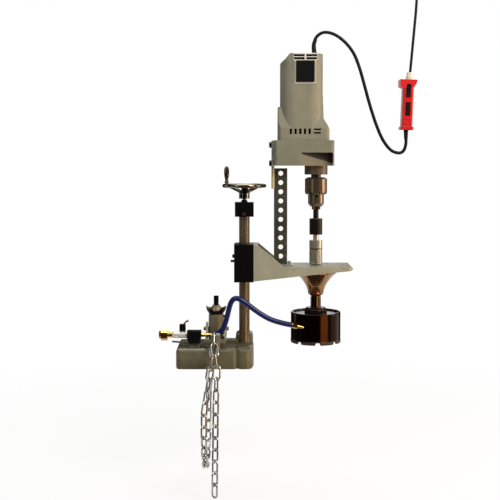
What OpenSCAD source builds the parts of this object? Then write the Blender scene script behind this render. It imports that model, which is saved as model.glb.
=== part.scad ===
// Electric pipe hole cutter: a saddle chained to a pipe, a column with a screw feed, and a drill
// that turns a hole saw. The origin lies on the pipe's crown line under the tension tower.
// +Z is up, +X runs along the pipe towards the saw, and +Y goes to the back.

/* [Pipe and saddle] */
// Radius of the pipe that the saddle sits on
pipe_r = 127; // [120:1:140]
// Saddle reach to the left of the tower
base_left = 93; // [85:1:110]
// Saddle depth across the pipe
base_d = 140; // [130:2:150]
// Saddle top above the crown of the pipe
base_top = 30; // [28:0.5:31]
// Lowest edge of the saddle lips below the crown
lip_drop = 18; // [14:1:26]
// Radius of the saddle's upright edges
base_round = 14; // [6:1:20]
// Radius of the saddle's top edges
base_edge = 10; // [4:0.5:10]
// Diameter of the tension tower
tower_d = 36; // [34:0.5:37]
// Top of the tension tower
tower_top = 102; // [96:1:106]

/* [Column and feed] */
// Distance from the tower to the column
column_x = 68; // [66:1:74]
// Column diameter
column_d = 25.4; // [24:0.1:28]
// Bore of the column
column_bore = 18; // [17:0.1:19]
// Top end of the column
column_top = 350; // [345:1:380]
// Width of the feed slot in the column
slot_w = 8; // [6:0.5:9]
// Feed screw diameter
screw_d = 14; // [12:0.5:15]
// Side of the square top block
top_block_w = 45; // [40:1:50]
// Height of the top block
top_block_h = 34; // [30:1:40]
// Handwheel rim diameter
wheel_d = 106; // [90:2:116]
// Thickness of the handwheel rim
wheel_rim_d = 9.5; // [7:0.5:12]
// Handwheel hub diameter
wheel_hub_d = 25.6; // [22:0.2:30]
// Height of the crank handle
crank_h = 41; // [30:1:55]

/* [Arm] */
// Underside of the slide block
slide_z = 185; // [180:1:190]
// Height of the slide block
slide_h = 89; // [84:1:94]
// Width of the arm across
arm_w = 110; // [104:2:112]
// Top of the arm's flat plate
arm_top = 221; // [219:0.5:223]
// Thickness of the arm's flat plate
arm_plate_t = 9; // [7:0.5:11]
// Thickness of the arm's side webs
web_t = 8; // [5:0.5:12]
// Distance from the column to the saw spindle
reach = 172; // [168:1:176]
// Length of the arm past the spindle
arm_tip = 86; // [76:1:96]

/* [Cutter] */
// Hole saw diameter
saw_d = 119.5; // [90:0.5:126]
// Wall of the hole saw
saw_wall = 3.5; // [2.5:0.5:5]
// Cutting edge of the hole saw above the crown of the pipe
saw_z = 35.5; // [30:0.5:40]
// Height of the hole saw
saw_h = 73; // [71:1:76]
// Number of gullets in the cutting edge
gullets = 8; // [4:1:12]
// Diameter of the spindle in its bearings
spindle_d = 20; // [18:0.5:22]
// Diameter of the bearing housing where it meets the arm
housing_d = 97; // [88:1:100]
// Diameter of the shaft coupling and drive adapter
coupling_d = 31; // [28:0.5:36]
// Diameter of the drill shank
shank_d = 13; // [12:0.5:14]
// Outside diameter of the chuck sleeve
chuck_d = 53; // [48:0.5:56]

/* [Drill] */
// Distance from the motor axis to the spindle axis
gear_offset = 36; // [35:0.5:37]
// Width of the motor housing
motor_w = 100; // [98:1:104]
// Depth of the motor housing
motor_d = 100; // [98:1:104]
// Wall of the motor housing
motor_wall = 4; // [3:0.5:5]
// Gear case depth
gear_case_d = 104; // [98:1:110]
// Bottom of the gear case
gear_z = 459.5; // [440:0.5:480]
// Height of the gear case
gear_h = 60; // [59:0.5:62]
// Height of the motor housing above the gear case
motor_h = 186; // [183:1:192]
// Height of the end cap
cap_h = 17; // [14:1:20]
// Leg of the perforated angle
angle_w = 31; // [28:0.5:34]
// Thickness of the perforated angle
angle_t = 3; // [2:0.5:4]
// Pitch of the holes in the angle
hole_pitch = 22; // [20:0.5:23]
// Diameter of the holes in the angle
hole_d = 11.5; // [8:0.5:13]

/* [Chain] */
// Wire diameter of the chain
wire_d = 4.5; // [4:0.1:4.8]
// Radius of a link's end bow, on the wire's centre
bow_r = 7.5; // [7.3:0.1:8]
// Links that go round the pipe, an odd number
wrap_links = 29; // [27:2:31]
// Links in the upper free end
tail_upper_links = 7; // [5:1:8]
// Links in the lower free end
tail_lower_links = 6; // [4:1:8]

/* [Water line and leads] */
// Height of the water line
water_z = 57; // [57:0.5:60]
// Distance of the water line in front of the tower
water_y = 32; // [30:0.5:36]
// Hose diameter
hose_d = 12.5; // [11:0.5:13]
// Motor cord diameter
motor_cord_d = 7.8; // [6:0.2:9]
// Supply cord diameter
supply_cord_d = 6.4; // [5:0.2:8]

/* [Hidden] */
$fn = 48;

// Fits
run_gap = 0.08;
slip_gap = 0.3;
seat_gap = 0.05;
past = 1;

// Saddle
base_front = -base_d / 2;
boss_r = 22.5;
boss_edge = 14;
boss_top = base_top + 3;
clamp_top = base_top + 24;
clamp_w = 42;
socket_z = 4;
tower_r = tower_d / 2;
tower_bore = 20;
tower_roof = 10;
pin_d = 10;
pin_z = 67;
tension_travel = 12;
stud_d = 12;
stud_top = tower_top + 44;
pad_h = 6;

// Yoke
cheek_t = 5;
cheek_in = tower_r + 1.5;
bar_z = base_top + tension_travel + 1;
bar_h = 8;
peg_y = 76;
peg_z = 62;
peg_r = 4.5;
finger_t = 8.5;
finger_x = 2.5;
hook_x = -2;
peg_len = 9;

// Chain
link_gap = 0.5;
tail_gap = wire_d + 0.75;
tail_out = bow_r + wire_d + 0.6;
sway = 22;
sway_links = 6;
chain_r = pipe_r + bow_r + 1;
peg_dist = norm([peg_y, peg_z + pipe_r]);
tangent_len = sqrt(peg_dist * peg_dist - chain_r * chain_r);
tangent_a = atan2(peg_y, peg_z + pipe_r) + acos(chain_r / peg_dist);
arc_len = (360 - 2 * tangent_a) * PI / 180 * chain_r;
hang = bow_r - wire_d / 2 - peg_r - slip_gap;
tail_seat = 1.2;
// The link's bow spacing follows from the pitch, and the pitch from the path that the chain takes
function wrap_pitch(c) = (2 * tangent_len + arc_len - lead_front(c) - lead_rear(c)) / wrap_links;
function lead_front(c) = c + hang + tail_seat + (wire_d + link_gap) / 2;
function lead_rear(c) = c + hang + bow_r - (wire_d + link_gap) / 2;
link_extra = link_gap - 2 * bow_r + wire_d;
bow_c = floor(50 * (wrap_pitch(0) + link_extra) / (1 + 2 / wrap_links)) / 50;
pitch = wrap_pitch(bow_c);

// Feed and slide
block_z = column_top - 12;
column_r = column_d / 2;
slot_z = 62;
slide_top = slide_z + slide_h;
slide_w = 46;
split_gap = 0.5;
bush_t = 1.8;
bush_h = 20;
bush_r = column_r + run_gap + bush_t;
slide_x0 = column_x - 24;
arm_x0 = slide_x0 + slide_w;
end_plate_t = 11;
end_top = slide_top - 3;
cap_screw_d = 5;
cap_head_d = 8.5;
cap_screw_x = bush_r + cap_screw_d / 2 + 2;
nut_z = slide_z + 30;
nut_h = 28;
key_reach = 26;
wheel_z = column_top + 61.5;
wheel_r = (wheel_d - wheel_rim_d) / 2;
journal_d = 9;
crank_a = 153;
crank_z = wheel_z + wheel_rim_d / 2 + 1;
crank_pin_d = 6;

// Spindle line
saw_x = column_x + reach;
flange_z = arm_top - 15;
housing_z = 147;
nose_top = housing_z - 2;
saw_plate_z = saw_z + 63.5;
saw_plate_t = 6;
hub_z = saw_plate_z + saw_plate_t;
hub_h = 14;
coupling_z = arm_top + 2.5;
chuck_h = 70;
nose_h = 21;
nose_gap = 6.5;
chuck_z = gear_z - nose_h - nose_gap - chuck_h;
coupling_len = 57.5;
coupling_gap = 13.5;
adapter_len = 38.5;
adapter_gap = 29;
// The couplings fill the room between the arm and the chuck
fill = (chuck_z - coupling_z) / (coupling_len + coupling_gap + adapter_len + adapter_gap);
coupling_h = coupling_len * fill;
spindle_seat = 34 * fill;
adapter_h = adapter_len * fill;
adapter_z = chuck_z - adapter_gap * fill - adapter_h;
adapter_bore = 20 * fill;
shank_grip = 23;
sleeve_z = chuck_z + 29;
sleeve_h = 39;
jaw_a = 6;
jaw_r = 3.6;
jaw_axis_r = 7.5;
jaw_z = chuck_z - 7;
jaw_h = 40;
core_r = 17;

// Drill
motor_x = saw_x - gear_offset;
case_x0 = column_x + 71.5;
case_x1 = saw_x + 40;
case_wall = 4.5;
case_top = gear_z + gear_h;
housing_top = case_top + motor_h;
nose_r = 27.5;
plate_t = 6;
plate_w = 48;
plate_drop = 55;
skirt_left = 55.5;
skirt_right = 64.5;
motor_floor = 8;
bridge_z = housing_top - 23;
switch_x = motor_x + 7;
switch_w = 42;
switch_h = 49;
switch_z = housing_top - 50;
switch_depth = 14;
louvres = 5;
louvre_w = 5.5;
bezel_w = 4.5;
bezel_t = 1.2;

// Gear train
teeth_small = 12;
teeth_large = 40;
gear_clear = 1.4;
// Reach of the countershaft's wheel from the motor axis, in modules
counter_reach = 46.1;
fast_module = (gear_case_d / 2 - case_wall - gear_clear) / counter_reach;
slow_module = 1.5;
pressure_a = 25;
fast_c = fast_module * (teeth_small + teeth_large) / 2;
slow_c = slow_module * (teeth_small + teeth_large) / 2;
counter_dx = (gear_offset * gear_offset + fast_c * fast_c - slow_c * slow_c) / (2 * gear_offset);
counter_dy = sqrt(fast_c * fast_c - counter_dx * counter_dx);
counter_x = motor_x + counter_dx;
mesh_slow = atan2(counter_dy, counter_x - saw_x);
mesh_fast = atan2(-counter_dy, -counter_dx);
slow_z = gear_z + 18;
slow_h = 12;
fast_z = slow_z + 20;
fast_h = 10;

// Hose and cord routes
hose_pts = [
    [-8, -water_y, water_z], [6, -36, 62], [17, -42, 73], [24, -47, 90], [29, -52, 109], [33, -57, 126],
    [38, -61, 140], [46, -64, 148], [57, -66, 147], [73, -66, 137], [98, -66, 118], [126, -66, 101],
    [152, -66, 92], [179, -66, 86]
];
nozzle_len = 30;
nozzle_a = 102;
cord_boss_h = 6;
cord_z = housing_top + cap_h + cord_boss_h;
gfci_x = 455;
gfci_z = 545;
motor_cord_pts = [
    [235, 0, cord_z], [234, 0, 748], [240, 0, 766], [257, 0, 777], [281, 0, 773], [306, 0, 756],
    [328, 0, 729], [343, 0, 693], [356, 0, 648], [369, 0, 602], [384, 0, 557], [400, 0, 521], [419, 0, 497],
    [438, 0, 490], [450, 0, 496], [gfci_x, 0, 512], [gfci_x, 0, 530], [gfci_x, 0, gfci_z]
];
gfci_lean = 2;
gfci_w = 25;
gfci_d = 34;
gfci_h = 119;
gland_h = 18;
gland_x = 4;
supply_pts = [
    [464, 0, 682], [467, 0, 715], [470.5, 0, 755], [474, 0, 795], [477, 0, 830], [479, 0, 868]
];

// Helpers: plain shapes

module rod(d, h) {
    cylinder(d = d, h = h);
}

module rod_x(d, h) {
    rotate([0, 90, 0]) cylinder(d = d, h = h);
}

module rod_y(d, h) {
    rotate([-90, 0, 0]) cylinder(d = d, h = h);
}

module ring(d_out, d_in, h) {
    difference() {
        cylinder(d = d_out, h = h);
        translate([0, 0, -past]) cylinder(d = d_in, h = h + 2 * past);
    }
}

module round_rect(w, d, r) {
    square([w - 2 * r, d], center = true);
    square([w, d - 2 * r], center = true);
    for (x = [-1, 1], y = [-1, 1])
        translate([x * (w / 2 - r), y * (d / 2 - r)]) circle(r);
}

// An outline in X and Z, pushed through from y0 to y1
module side_extrude(y0, y1) {
    translate([0, y1, 0]) rotate([90, 0, 0]) linear_extrude(y1 - y0) children();
}

// A block with rounded upright edges and rounded top edges, standing on z = 0
module pillow(size, r_side, r_top) {
    deep = 2 * r_top;
    intersection() {
        linear_extrude(size[2] + past) round_rect(size[0], size[1], r_side);
        side_extrude(-size[1] / 2 - past, size[1] / 2 + past)
            translate([0, size[2] / 2 - deep]) round_rect(size[0], size[2] + 2 * deep, r_top);
        rotate([0, 0, 90]) side_extrude(-size[0] / 2 - past, size[0] / 2 + past)
            translate([0, size[2] / 2 - deep]) round_rect(size[1], size[2] + 2 * deep, r_top);
    }
}

function along(a, b, t) = a + (b - a) * t;

// A tube of n sides swept along route points, smoothed between them
function spline(p, i, t) =
    let (a = p[max(i - 1, 0)], b = p[i], c = p[i + 1], d = p[min(i + 2, len(p) - 1)])
    0.5 * (2 * b + (c - a) * t + (2 * a - 5 * b + 4 * c - d) * t * t + (3 * b - a - 3 * c + d) * t * t * t);

function unit(v) = v / norm(v);

module swept_tube(p, d, n, steps) {
    path = [for (i = [0 : len(p) - 2], k = [0 : steps - 1]) spline(p, i, k / steps), p[len(p) - 1]];
    last = len(path) - 1;
    rings = [for (i = [0 : last])
        let (w = i == 0 ? unit(p[1] - p[0]) : i == last ? unit(p[len(p) - 1] - p[len(p) - 2])
                : unit(path[i + 1] - path[i - 1]))
        let (side = unit(cross(w, [0.05, 1, 0.1])), up = cross(side, w))
        [for (k = [0 : n - 1]) path[i] + d / 2 * (cos(360 * k / n) * side + sin(360 * k / n) * up)]];
    points = [for (r = rings, q = r) q];
    faces = concat(
        [[for (k = [0 : n - 1]) k]],
        [for (i = [0 : last - 1], k = [0 : n - 1])
            [i * n + k, (i + 1) * n + k, (i + 1) * n + (k + 1) % n]],
        [for (i = [0 : last - 1], k = [0 : n - 1])
            [i * n + k, (i + 1) * n + (k + 1) % n, i * n + (k + 1) % n]],
        [[for (k = [n - 1 : -1 : 0]) last * n + k]]);
    polyhedron(points, faces);
}

// Involute gears
function inv_deg(x) = tan(x) * 180 / PI - x;

function tooth_half(r, rb, m, teeth, q) =
    90 / teeth - 0.05 * m / r * 180 / PI + inv_deg(pressure_a) - inv_deg(acos(min(1, rb / q)));

module gear(teeth, m, h, phase) {
    r = m * teeth / 2;
    rb = r * cos(pressure_a);
    root = r - 1.25 * m;
    start = max(rb, root);
    tip = r + 0.9 * m;
    radii = [for (k = [0 : 4]) along(start, tip, k / 4)];
    linear_extrude(h) polygon([for (i = [0 : teeth - 1])
        let (a = phase + 360 * i / teeth)
        each concat(
            [let (w = tooth_half(r, rb, m, teeth, start)) root * [cos(a - w), sin(a - w)]],
            [for (q = radii) let (w = tooth_half(r, rb, m, teeth, q)) q * [cos(a - w), sin(a - w)]],
            [for (k = [4 : -1 : 0])
                let (q = radii[k], w = tooth_half(r, rb, m, teeth, q)) q * [cos(a + w), sin(a + w)]],
            [let (w = tooth_half(r, rb, m, teeth, start)) root * [cos(a + w), sin(a + w)]])]);
}

// Chain path in Y and Z: u counts from the front tangent point, down and round under the pipe
function front_path(u, r) =
    u < 0
    ? [-r * sin(tangent_a) - u * cos(tangent_a), -pipe_r + r * cos(tangent_a) - u * sin(tangent_a)]
    : let (a = tangent_a + u / r * 180 / PI) [-r * sin(a), -pipe_r + r * cos(a)];

function wrap_path(u) =
    u <= arc_len / 2 ? front_path(u, chain_r)
    : let (q = front_path(arc_len - u, chain_r)) [-q[0], q[1]];

function wrap_joint(i) =
    let (q = wrap_path(i * pitch - tangent_len + lead_front(bow_c)))
    [hook_x - sway * min(1, i / sway_links, (wrap_links - i) / sway_links), q[0], q[1]];

tail_r = chain_r + tail_out;
tail_slack = pitch - sqrt(pitch * pitch - pow(tail_out - tail_gap, 2));
tail_arc = (90 - tangent_a) * PI / 180 * tail_r;

function tail_path(u) = u < tail_arc ? front_path(u, tail_r) : [-tail_r, -pipe_r - u + tail_arc];

// The free end starts beside the wrapped chain and then lies on top of it
function tail_joint(i) =
    let (start = lead_front(bow_c) - tangent_len)
    let (q = i == 0 ? front_path(start, chain_r + tail_gap) : tail_path(start + i * pitch - tail_slack))
    [hook_x + min(i * 3.6, 8 - 0.4 * i), q[0], q[1]];

// One oval link about the origin, long along Z, flat in X and Z
module link() {
    for (s = [-1, 1]) {
        translate([0, 0, s * bow_c / 2]) rotate([90, 0, 0]) rotate([0, 0, 90 - 90 * s])
            rotate_extrude(angle = 180) translate([bow_r, 0]) circle(d = wire_d);
        translate([s * bow_r, 0, -bow_c / 2]) cylinder(d = wire_d, h = bow_c);
    }
}

// A link between two joint points, rolled about its own length
module link_between(a, b, roll) {
    w = unit(b - a);
    translate((a + b) / 2) rotate([atan2(-w[1], w[2]), 0, 0]) rotate([0, asin(w[0]), 0])
        rotate([0, 0, roll]) link();
}

// Quarter turns by turns, with an extra half quarter once the chain lies on the pipe
function link_roll(i, n) = 90 * (i % 2) + 45 * min(1, max(0, min(i - 2, n - 3 - i) / 2));

// Stand

module saddle_base() {
    length = base_left + column_x - boss_r + 8;
    color("darkolivegreen") difference() {
        union() {
            translate([length / 2 - base_left, 0, -lip_drop])
                pillow([length, base_d, base_top + lip_drop], base_round, base_edge);
            translate([column_x, 0, -lip_drop])
                pillow([2 * boss_r, base_d, boss_top + lip_drop], boss_r - 2, boss_edge);
            translate([column_x, clamp_back / 2 + 1, 0])
                pillow([clamp_w, clamp_back - 2, clamp_top], base_edge, base_edge);
            translate([0, -rib_w / 3, base_top - past]) cube([column_x - 14, rib_w, rib_h + past]);
            cylinder(r1 = tower_r + 1, r2 = tower_r, h = tower_top);
            translate([pad_x, -water_y - pad_w / 2, base_top - past]) cube([pad_l, pad_w, pad_h + past]);
        }
        translate([-base_left - past, 0, -pipe_r])
            rod_x(2 * pipe_r, base_left + column_x + boss_r + 2 * past);
        translate([column_x, 0, socket_z]) rod(column_d + 2 * seat_gap, clamp_top);
        translate([0, 0, tower_floor]) rod(tower_bore, tower_top - tower_roof - tower_floor);
        rod(stud_d + 2 * slip_gap, tower_top + past);
        translate([-tower_r - 4, -pin_d / 2 - slip_gap, pin_z - tension_travel - pin_d / 2 - past])
            cube([2 * tower_r + 8, pin_d + 2 * slip_gap, tension_travel + pin_d + 2 * past]);
        for (s = [0, 1]) mirror([s, 0, 0])
            translate([cheek_in - slip_gap, -base_d, bar_z - tension_travel - 2 * slip_gap])
                cube([cheek_t + 2 * slip_gap, 2 * base_d, 2 * bar_h]);
        translate([0, 0, tower_key_z]) rod_x(key_hole_d, 2 * tower_r);
        for (x = column_screw_x)
            translate([column_x + x, 0, column_screw_z]) rod_y(key_hole_d, base_d);
    }
}

rib_w = 30;
rib_h = 10;
pad_x = -62;
pad_l = 22;
pad_w = 16;
tower_floor = base_top + 6;
tower_key_z = tower_top - 6;
key_d = 5;
key_hole_d = key_d + 2 * seat_gap;
key_head_h = 4;
column_screw_x = [-8, 8];
column_screw_z = base_top + 11;
clamp_back = 2 * boss_r + 12;
block_screw_z = block_z + 6;

// A small screw along Z: shank below the head, head on top of z = 0
module key_screw(length) {
    translate([0, 0, -length]) rod(key_d, length);
    difference() {
        rod(key_d + 3, key_head_h);
        translate([0, 0, key_head_h / 2]) cylinder(d = key_d - 1, h = key_head_h, $fn = 6);
    }
}

module key_screws() {
    color("dimgray") {
        translate([tower_r + 0.2, 0, tower_key_z]) rotate([0, 90, 0]) key_screw(tower_r - stud_d / 2);
        for (x = column_screw_x)
            translate([column_x + x, clamp_back, column_screw_z]) rotate([-90, 0, 0])
                key_screw(clamp_back - sqrt(column_r * column_r - pow(abs(x) - key_d / 2, 2)) - seat_gap);
        for (s = [-1, 1])
            translate([column_x, s * top_block_w / 2, block_screw_z]) rotate([-90 * s, 0, 0])
                key_screw(top_block_w / 2 - column_r - seat_gap);
    }
}

module column() {
    color("silver") difference() {
        translate([column_x, 0, socket_z]) rod(column_d, column_top - socket_z);
        translate([column_x, 0, socket_z - past]) rod(column_bore, column_top);
        translate([column_x - slot_w / 2, 0, slot_z])
            cube([slot_w, column_d, block_z - 8 - slot_z]);
    }
}

module top_block() {
    color("black") difference() {
        union() {
            translate([column_x, 0, block_z]) linear_extrude(top_block_h)
                round_rect(top_block_w, top_block_w, 1.5);
            translate([column_x, 0, block_z + top_block_h])
                cylinder(d1 = 17, d2 = 11.5, h = 6);
        }
        translate([column_x, 0, block_z - past])
            rod(column_d + 2 * seat_gap, column_top - block_z + past);
        translate([column_x, 0, column_top - past]) rod(bearing_d + 2 * seat_gap, bearing_room + past);
        translate([column_x, 0, column_top]) rod(journal_d + 2 * run_gap, top_block_h + 10);
        for (s = [-1, 1]) translate([column_x, 0, block_screw_z])
            rotate([-90 * s, 0, 0]) rod(key_hole_d, top_block_w);
    }
}

bearing_d = 20;
bearing_room = 14;
collar_h = 5;
washer_h = 1.8;

module thrust_bearing() {
    bearing_h = bearing_room - washer_h - collar_h - 0.4;
    color("lightgray") {
        translate([column_x, 0, column_top]) ring(bearing_d, screw_d + 0.6, washer_h);
        translate([column_x, 0, column_top + bearing_room - bearing_h])
            ring(bearing_d, journal_d + 2 * run_gap, bearing_h);
    }
}

// Feed

module feed_screw() {
    collar_z = column_top + washer_h + 0.2;
    foot_z = base_top + 14;
    color("gray") translate([column_x, 0, 0]) {
        translate([0, 0, foot_z]) rod(screw_d, collar_z - foot_z);
        translate([0, 0, collar_z]) rod(column_bore, collar_h);
        translate([0, 0, collar_z]) rod(journal_d, wheel_z - 10 - collar_z);
    }
}

module handwheel() {
    hub_z0 = block_z + top_block_h + 8.5;
    hub_z1 = wheel_z - 11;
    hub_r = wheel_hub_d / 2;
    lift = wheel_z - hub_z1;
    steps = 6;
    dish = [for (k = [0 : steps]) let (t = k / steps)
        [along(hub_r - 2, wheel_r, t), hub_z1 - 8 + (lift + 6) * pow(t, 0.75)]];
    color("silver") translate([column_x, 0, 0]) {
        difference() {
            union() {
                translate([0, 0, hub_z0]) rod(wheel_hub_d, hub_z1 - hub_z0);
                translate([0, 0, wheel_z]) rotate_extrude() translate([wheel_r, 0]) circle(d = wheel_rim_d);
                intersection() {
                    rotate_extrude() polygon(concat(dish, [for (k = [steps : -1 : 0]) dish[k] + [0, 5]]));
                    translate([0, 0, hub_z0]) linear_extrude(wheel_z) {
                        circle(hub_r + 2);
                        for (k = [0 : 2]) rotate(crank_a + 120 * k)
                            polygon([[0, -10], [wheel_r, -6], [wheel_r, 6], [0, 10]]);
                    }
                }
            }
            translate([0, 0, hub_z0 - past]) rod(journal_d + 2 * seat_gap, wheel_z);
        }
        rotate(crank_a) translate([wheel_r, 0, wheel_z]) rod(crank_pin_d, crank_z - wheel_z + crank_h - 8);
    }
}

module crank_handle() {
    barrel = [
        [5, 0], [5, 4], [3.9, 6], [3.9, 9], [5.2, 15], [6.3, 23], [6.4, 29], [5.4, 36], [3.4, 40], [0, 41]
    ];
    bore_h = crank_h - 7;
    top = barrel[len(barrel) - 1][1];
    color("silver") translate([column_x, 0, crank_z]) rotate(crank_a)
        translate([wheel_r, 0, 0]) difference() {
        rotate_extrude() polygon(concat([[0, 0]], [for (q = barrel) [q[0], q[1] * crank_h / top]]));
        translate([0, 0, -past]) rod(crank_pin_d + 2 * run_gap, bore_h + past);
    }
}

module feed_nut() {
    color("peru") translate([column_x, 0, nut_z]) difference() {
        union() {
            rod(column_bore - 2 * run_gap, nut_h);
            translate([-slot_w / 2 + 0.2, 0, 4]) cube([slot_w - 0.4, key_reach, nut_h - 8]);
        }
        translate([0, 0, -past]) rod(screw_d + 2 * run_gap, nut_h + 2 * past);
    }
}

// Tensioner

module tension_stud() {
    eye_h = pin_d + 8;
    color("black") difference() {
        union() {
            translate([0, 0, pin_z]) rod(stud_d, stud_top - pin_z);
            translate([0, 0, pin_z - eye_h / 2]) rod(tower_bore - 2 * slip_gap, eye_h);
        }
        translate([-tower_bore, 0, pin_z]) rod_x(pin_d + 2 * seat_gap, 2 * tower_bore);
        translate([stud_d / 2 - 0.6, -key_d / 2 - slip_gap, tower_key_z - tension_travel])
            cube([stud_d, key_d + 2 * slip_gap, 2 * tension_travel + 20]);
    }
}

// One side cheek: a low bar with a pointed upright that holds the cross pin
module cheek() {
    half = peg_y - 14;
    rotate([90, 0, 90]) linear_extrude(cheek_t) {
        translate([-half, bar_z]) square([2 * half, bar_h]);
        polygon([[-24, bar_z + bar_h], [24, bar_z + bar_h], [8, pin_z + 8], [-8, pin_z + 8]]);
        translate([0, pin_z + 8]) circle(8);
    }
}

// A finger in front of the saddle with a headed peg that carries the chain
module hook() {
    finger_y = -base_front + 1.5;
    translate([finger_x, 0, 0]) rotate([90, 0, 90]) linear_extrude(finger_t) {
        translate([-peg_y, peg_z]) circle(6.5);
        translate([-peg_y - 3, base_top]) square([peg_y + 3 - finger_y, peg_z - base_top]);
        translate([-peg_y - 3, bar_z]) square([17, bar_h]);
    }
    translate([finger_x - peg_len, -peg_y, peg_z]) rod_x(2 * peg_r, peg_len + 2);
    translate([finger_x - peg_len - 3, -peg_y, peg_z]) rod_x(2 * peg_r + 5, 3);
}

module tension_yoke() {
    outer = cheek_in + cheek_t;
    color("lightgray") {
        for (s = [0, 1]) mirror([s, 0, 0]) translate([cheek_in, 0, 0]) cheek();
        for (s = [0, 1]) mirror([0, s, 0]) {
            translate([-outer, -peg_y + 10, bar_z]) cube([2 * outer, 9, bar_h]);
            hook();
        }
        translate([-outer - 6, 0, pin_z]) rod_x(pin_d, 2 * outer + 12);
    }
}

module wing_nut() {
    ear_r = 25;
    ear_z = tower_top + 21;
    dip_z = tower_top + 11;
    dip_r = 40;
    color("black") difference() {
        intersection() {
            rotate_extrude() polygon([
                [0, tower_top + 0.2], [13, tower_top + 0.2], [19, tower_top + 3.5], [ear_r - 2, dip_z],
                [ear_r, ear_z], [0, ear_z]
            ]);
            translate([-ear_r - past, -15, tower_top]) cube([2 * ear_r + 2, 30, 40]);
        }
        translate([0, -20, dip_z + dip_r]) rod_y(2 * dip_r, 40);
        translate([0, 0, hub_floor + 3]) rod(33, 40);
        translate([0, 0, tower_top - past]) rod(stud_d + 2 * slip_gap, 60);
    }
    color("tan") difference() {
        translate([0, 0, hub_floor]) rotate_extrude() polygon([
            [0, 0], [15.5, 0], [15.5, 4], [13.5, 11], [9.5, 12], [9, 16], [0, 16]
        ]);
        translate([0, 0, tower_top]) rod(stud_d + 2 * slip_gap, 60);
    }
}

hub_floor = tower_top + 6;

module chain_wrap() {
    first = wrap_joint(0);
    flow = unit(wrap_joint(1) - first);
    middle = first - flow * (wire_d + link_gap) / 2
        + tail_gap / 2 * [0, -sin(tangent_a), cos(tangent_a)];
    front_peg = [hook_x, -peg_y, peg_z];
    fall = unit([0, middle[1] + peg_y, middle[2] - peg_z]);
    rear_fall = [0, cos(tangent_a), -sin(tangent_a)];
    rear_peg = [hook_x, peg_y, peg_z];
    color("gainsboro") {
        link_between(front_peg + hang * fall, front_peg + (hang + bow_c) * fall, 90);
        for (i = [0 : wrap_links - 1])
            link_between(wrap_joint(i), wrap_joint(i + 1), link_roll(i, wrap_links));
        link_between(rear_peg + hang * rear_fall, rear_peg + (hang + bow_c) * rear_fall, 90);
    }
}

module tail(from, count) {
    color("gainsboro") for (i = [from : from + count - 1])
        link_between(tail_joint(i), tail_joint(i + 1), link_roll(i, 99));
}

module chain_tail_upper() {
    tail(0, tail_upper_links);
}

module chain_tail_lower() {
    tail(tail_upper_links, tail_lower_links);
}

// Arm

module slide_cap() {
    color("black") difference() {
        translate([slide_x0, -arm_w / 2, slide_z]) cube([slide_w, arm_w / 2 - split_gap / 2, slide_h]);
        slide_cuts();
        translate([slide_x0 - past, -lock_y, lock_z]) rod_x(lock_d + 2 * run_gap, slide_w / 2);
        translate([slide_x0 - past, -lock_y, gib_z]) rod_x(cap_screw_d + 2 * seat_gap, gib_len + 2 * past);
    }
}

// Bore, bush seats and clamp screw holes that the cap and the casting share
module slide_cuts() {
    translate([column_x, 0, 0]) {
        translate([0, 0, slide_z - past]) rod(2 * (column_r + 0.6), slide_h + 2 * past);
        for (z = [slide_z - past, slide_top - bush_h])
            translate([0, 0, z]) rod(2 * bush_r, bush_h + past);
        translate([-slot_w / 2 + 0.15, 0, nut_z + 3.95])
            cube([slot_w - 0.3, key_reach + seat_gap, nut_h - 7.9]);
        for (s = [-1, 1], z = cap_screw_z)
            translate([s * cap_screw_x, -14, z]) rod_y(cap_screw_d + 2 * seat_gap, arm_w);
    }
}

cap_screw_z = [slide_z + 14, slide_top - 16];
lock_d = 6;
lock_y = 8;
lock_z = slide_z + 46;
lock_bar_l = 12;
gib_z = lock_z + lock_bar_l;
gib_len = 7;

module arm_casting() {
    wedge_end = arm_x0 + 72;
    tip_x = saw_x + arm_tip;
    inner = arm_w - 2 * web_t;
    pocket_x = arm_x0 + end_plate_t;
    color("tan") difference() {
        union() {
            intersection() {
                side_extrude(-arm_w / 2, arm_w / 2) polygon([
                    [arm_x0, slide_z + 2], [arm_x0, end_top], [pocket_x, end_top], [wedge_end, arm_top],
                    [tip_x - 4, arm_top], [tip_x, arm_top - 4], [tip_x - 4, arm_top - arm_plate_t],
                    [wedge_end + 26, arm_top - 23]
                ]);
                translate([tip_x - 150, 0, slide_z - past]) linear_extrude(slide_h)
                    round_rect(300, arm_w, 14);
            }
            translate([slide_x0 + 1.5, split_gap / 2, slide_z + 2])
                cube([arm_x0 - slide_x0, arm_w / 2 - split_gap / 2, end_top - slide_z - 2]);
            translate([saw_x, 0, flange_z]) rod(housing_d + 1, arm_top - arm_plate_t - flange_z + past);
        }
        slide_cuts();
        translate([pocket_x, -inner / 2, arm_top]) cube([90, inner, slide_h]);
        translate([pocket_x, -inner / 2, slide_z - past])
            cube([wedge_end - pocket_x + 22, inner, arm_top - arm_plate_t - slide_z + past]);
        translate([saw_x, 0, housing_z]) rod(housing_d + 2 * seat_gap, flange_z - housing_z);
        translate([saw_x, 0, housing_z]) rod(spigot_d + 2 * seat_gap, flange_z + spigot_h - housing_z);
        translate([saw_x, 0, housing_z]) rod(spindle_d + 4, 200);
        for (a = [45 : 90 : 315]) translate([saw_x, 0, 0]) rotate(a) translate([flange_screw_r, 0, 0]) {
            translate([0, 0, flange_z - past]) rod(cap_screw_d + 2 * seat_gap, 3 * flange_thread);
            translate([0, 0, arm_top - cap_screw_d]) rod(cap_head_d + 2 * slip_gap, 2 * cap_screw_d);
        }
        for (q = foot_holes) translate([q[0], q[1], arm_top - 8]) rod(cap_screw_d + 2 * seat_gap, 9);
    }
}

spigot_d = 50;
spigot_h = 6;
flange_screw_r = 38;
flange_thread = 8;
foot_holes = [[case_x0 + 37, -16], [case_x0 + 37, 14]];

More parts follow.
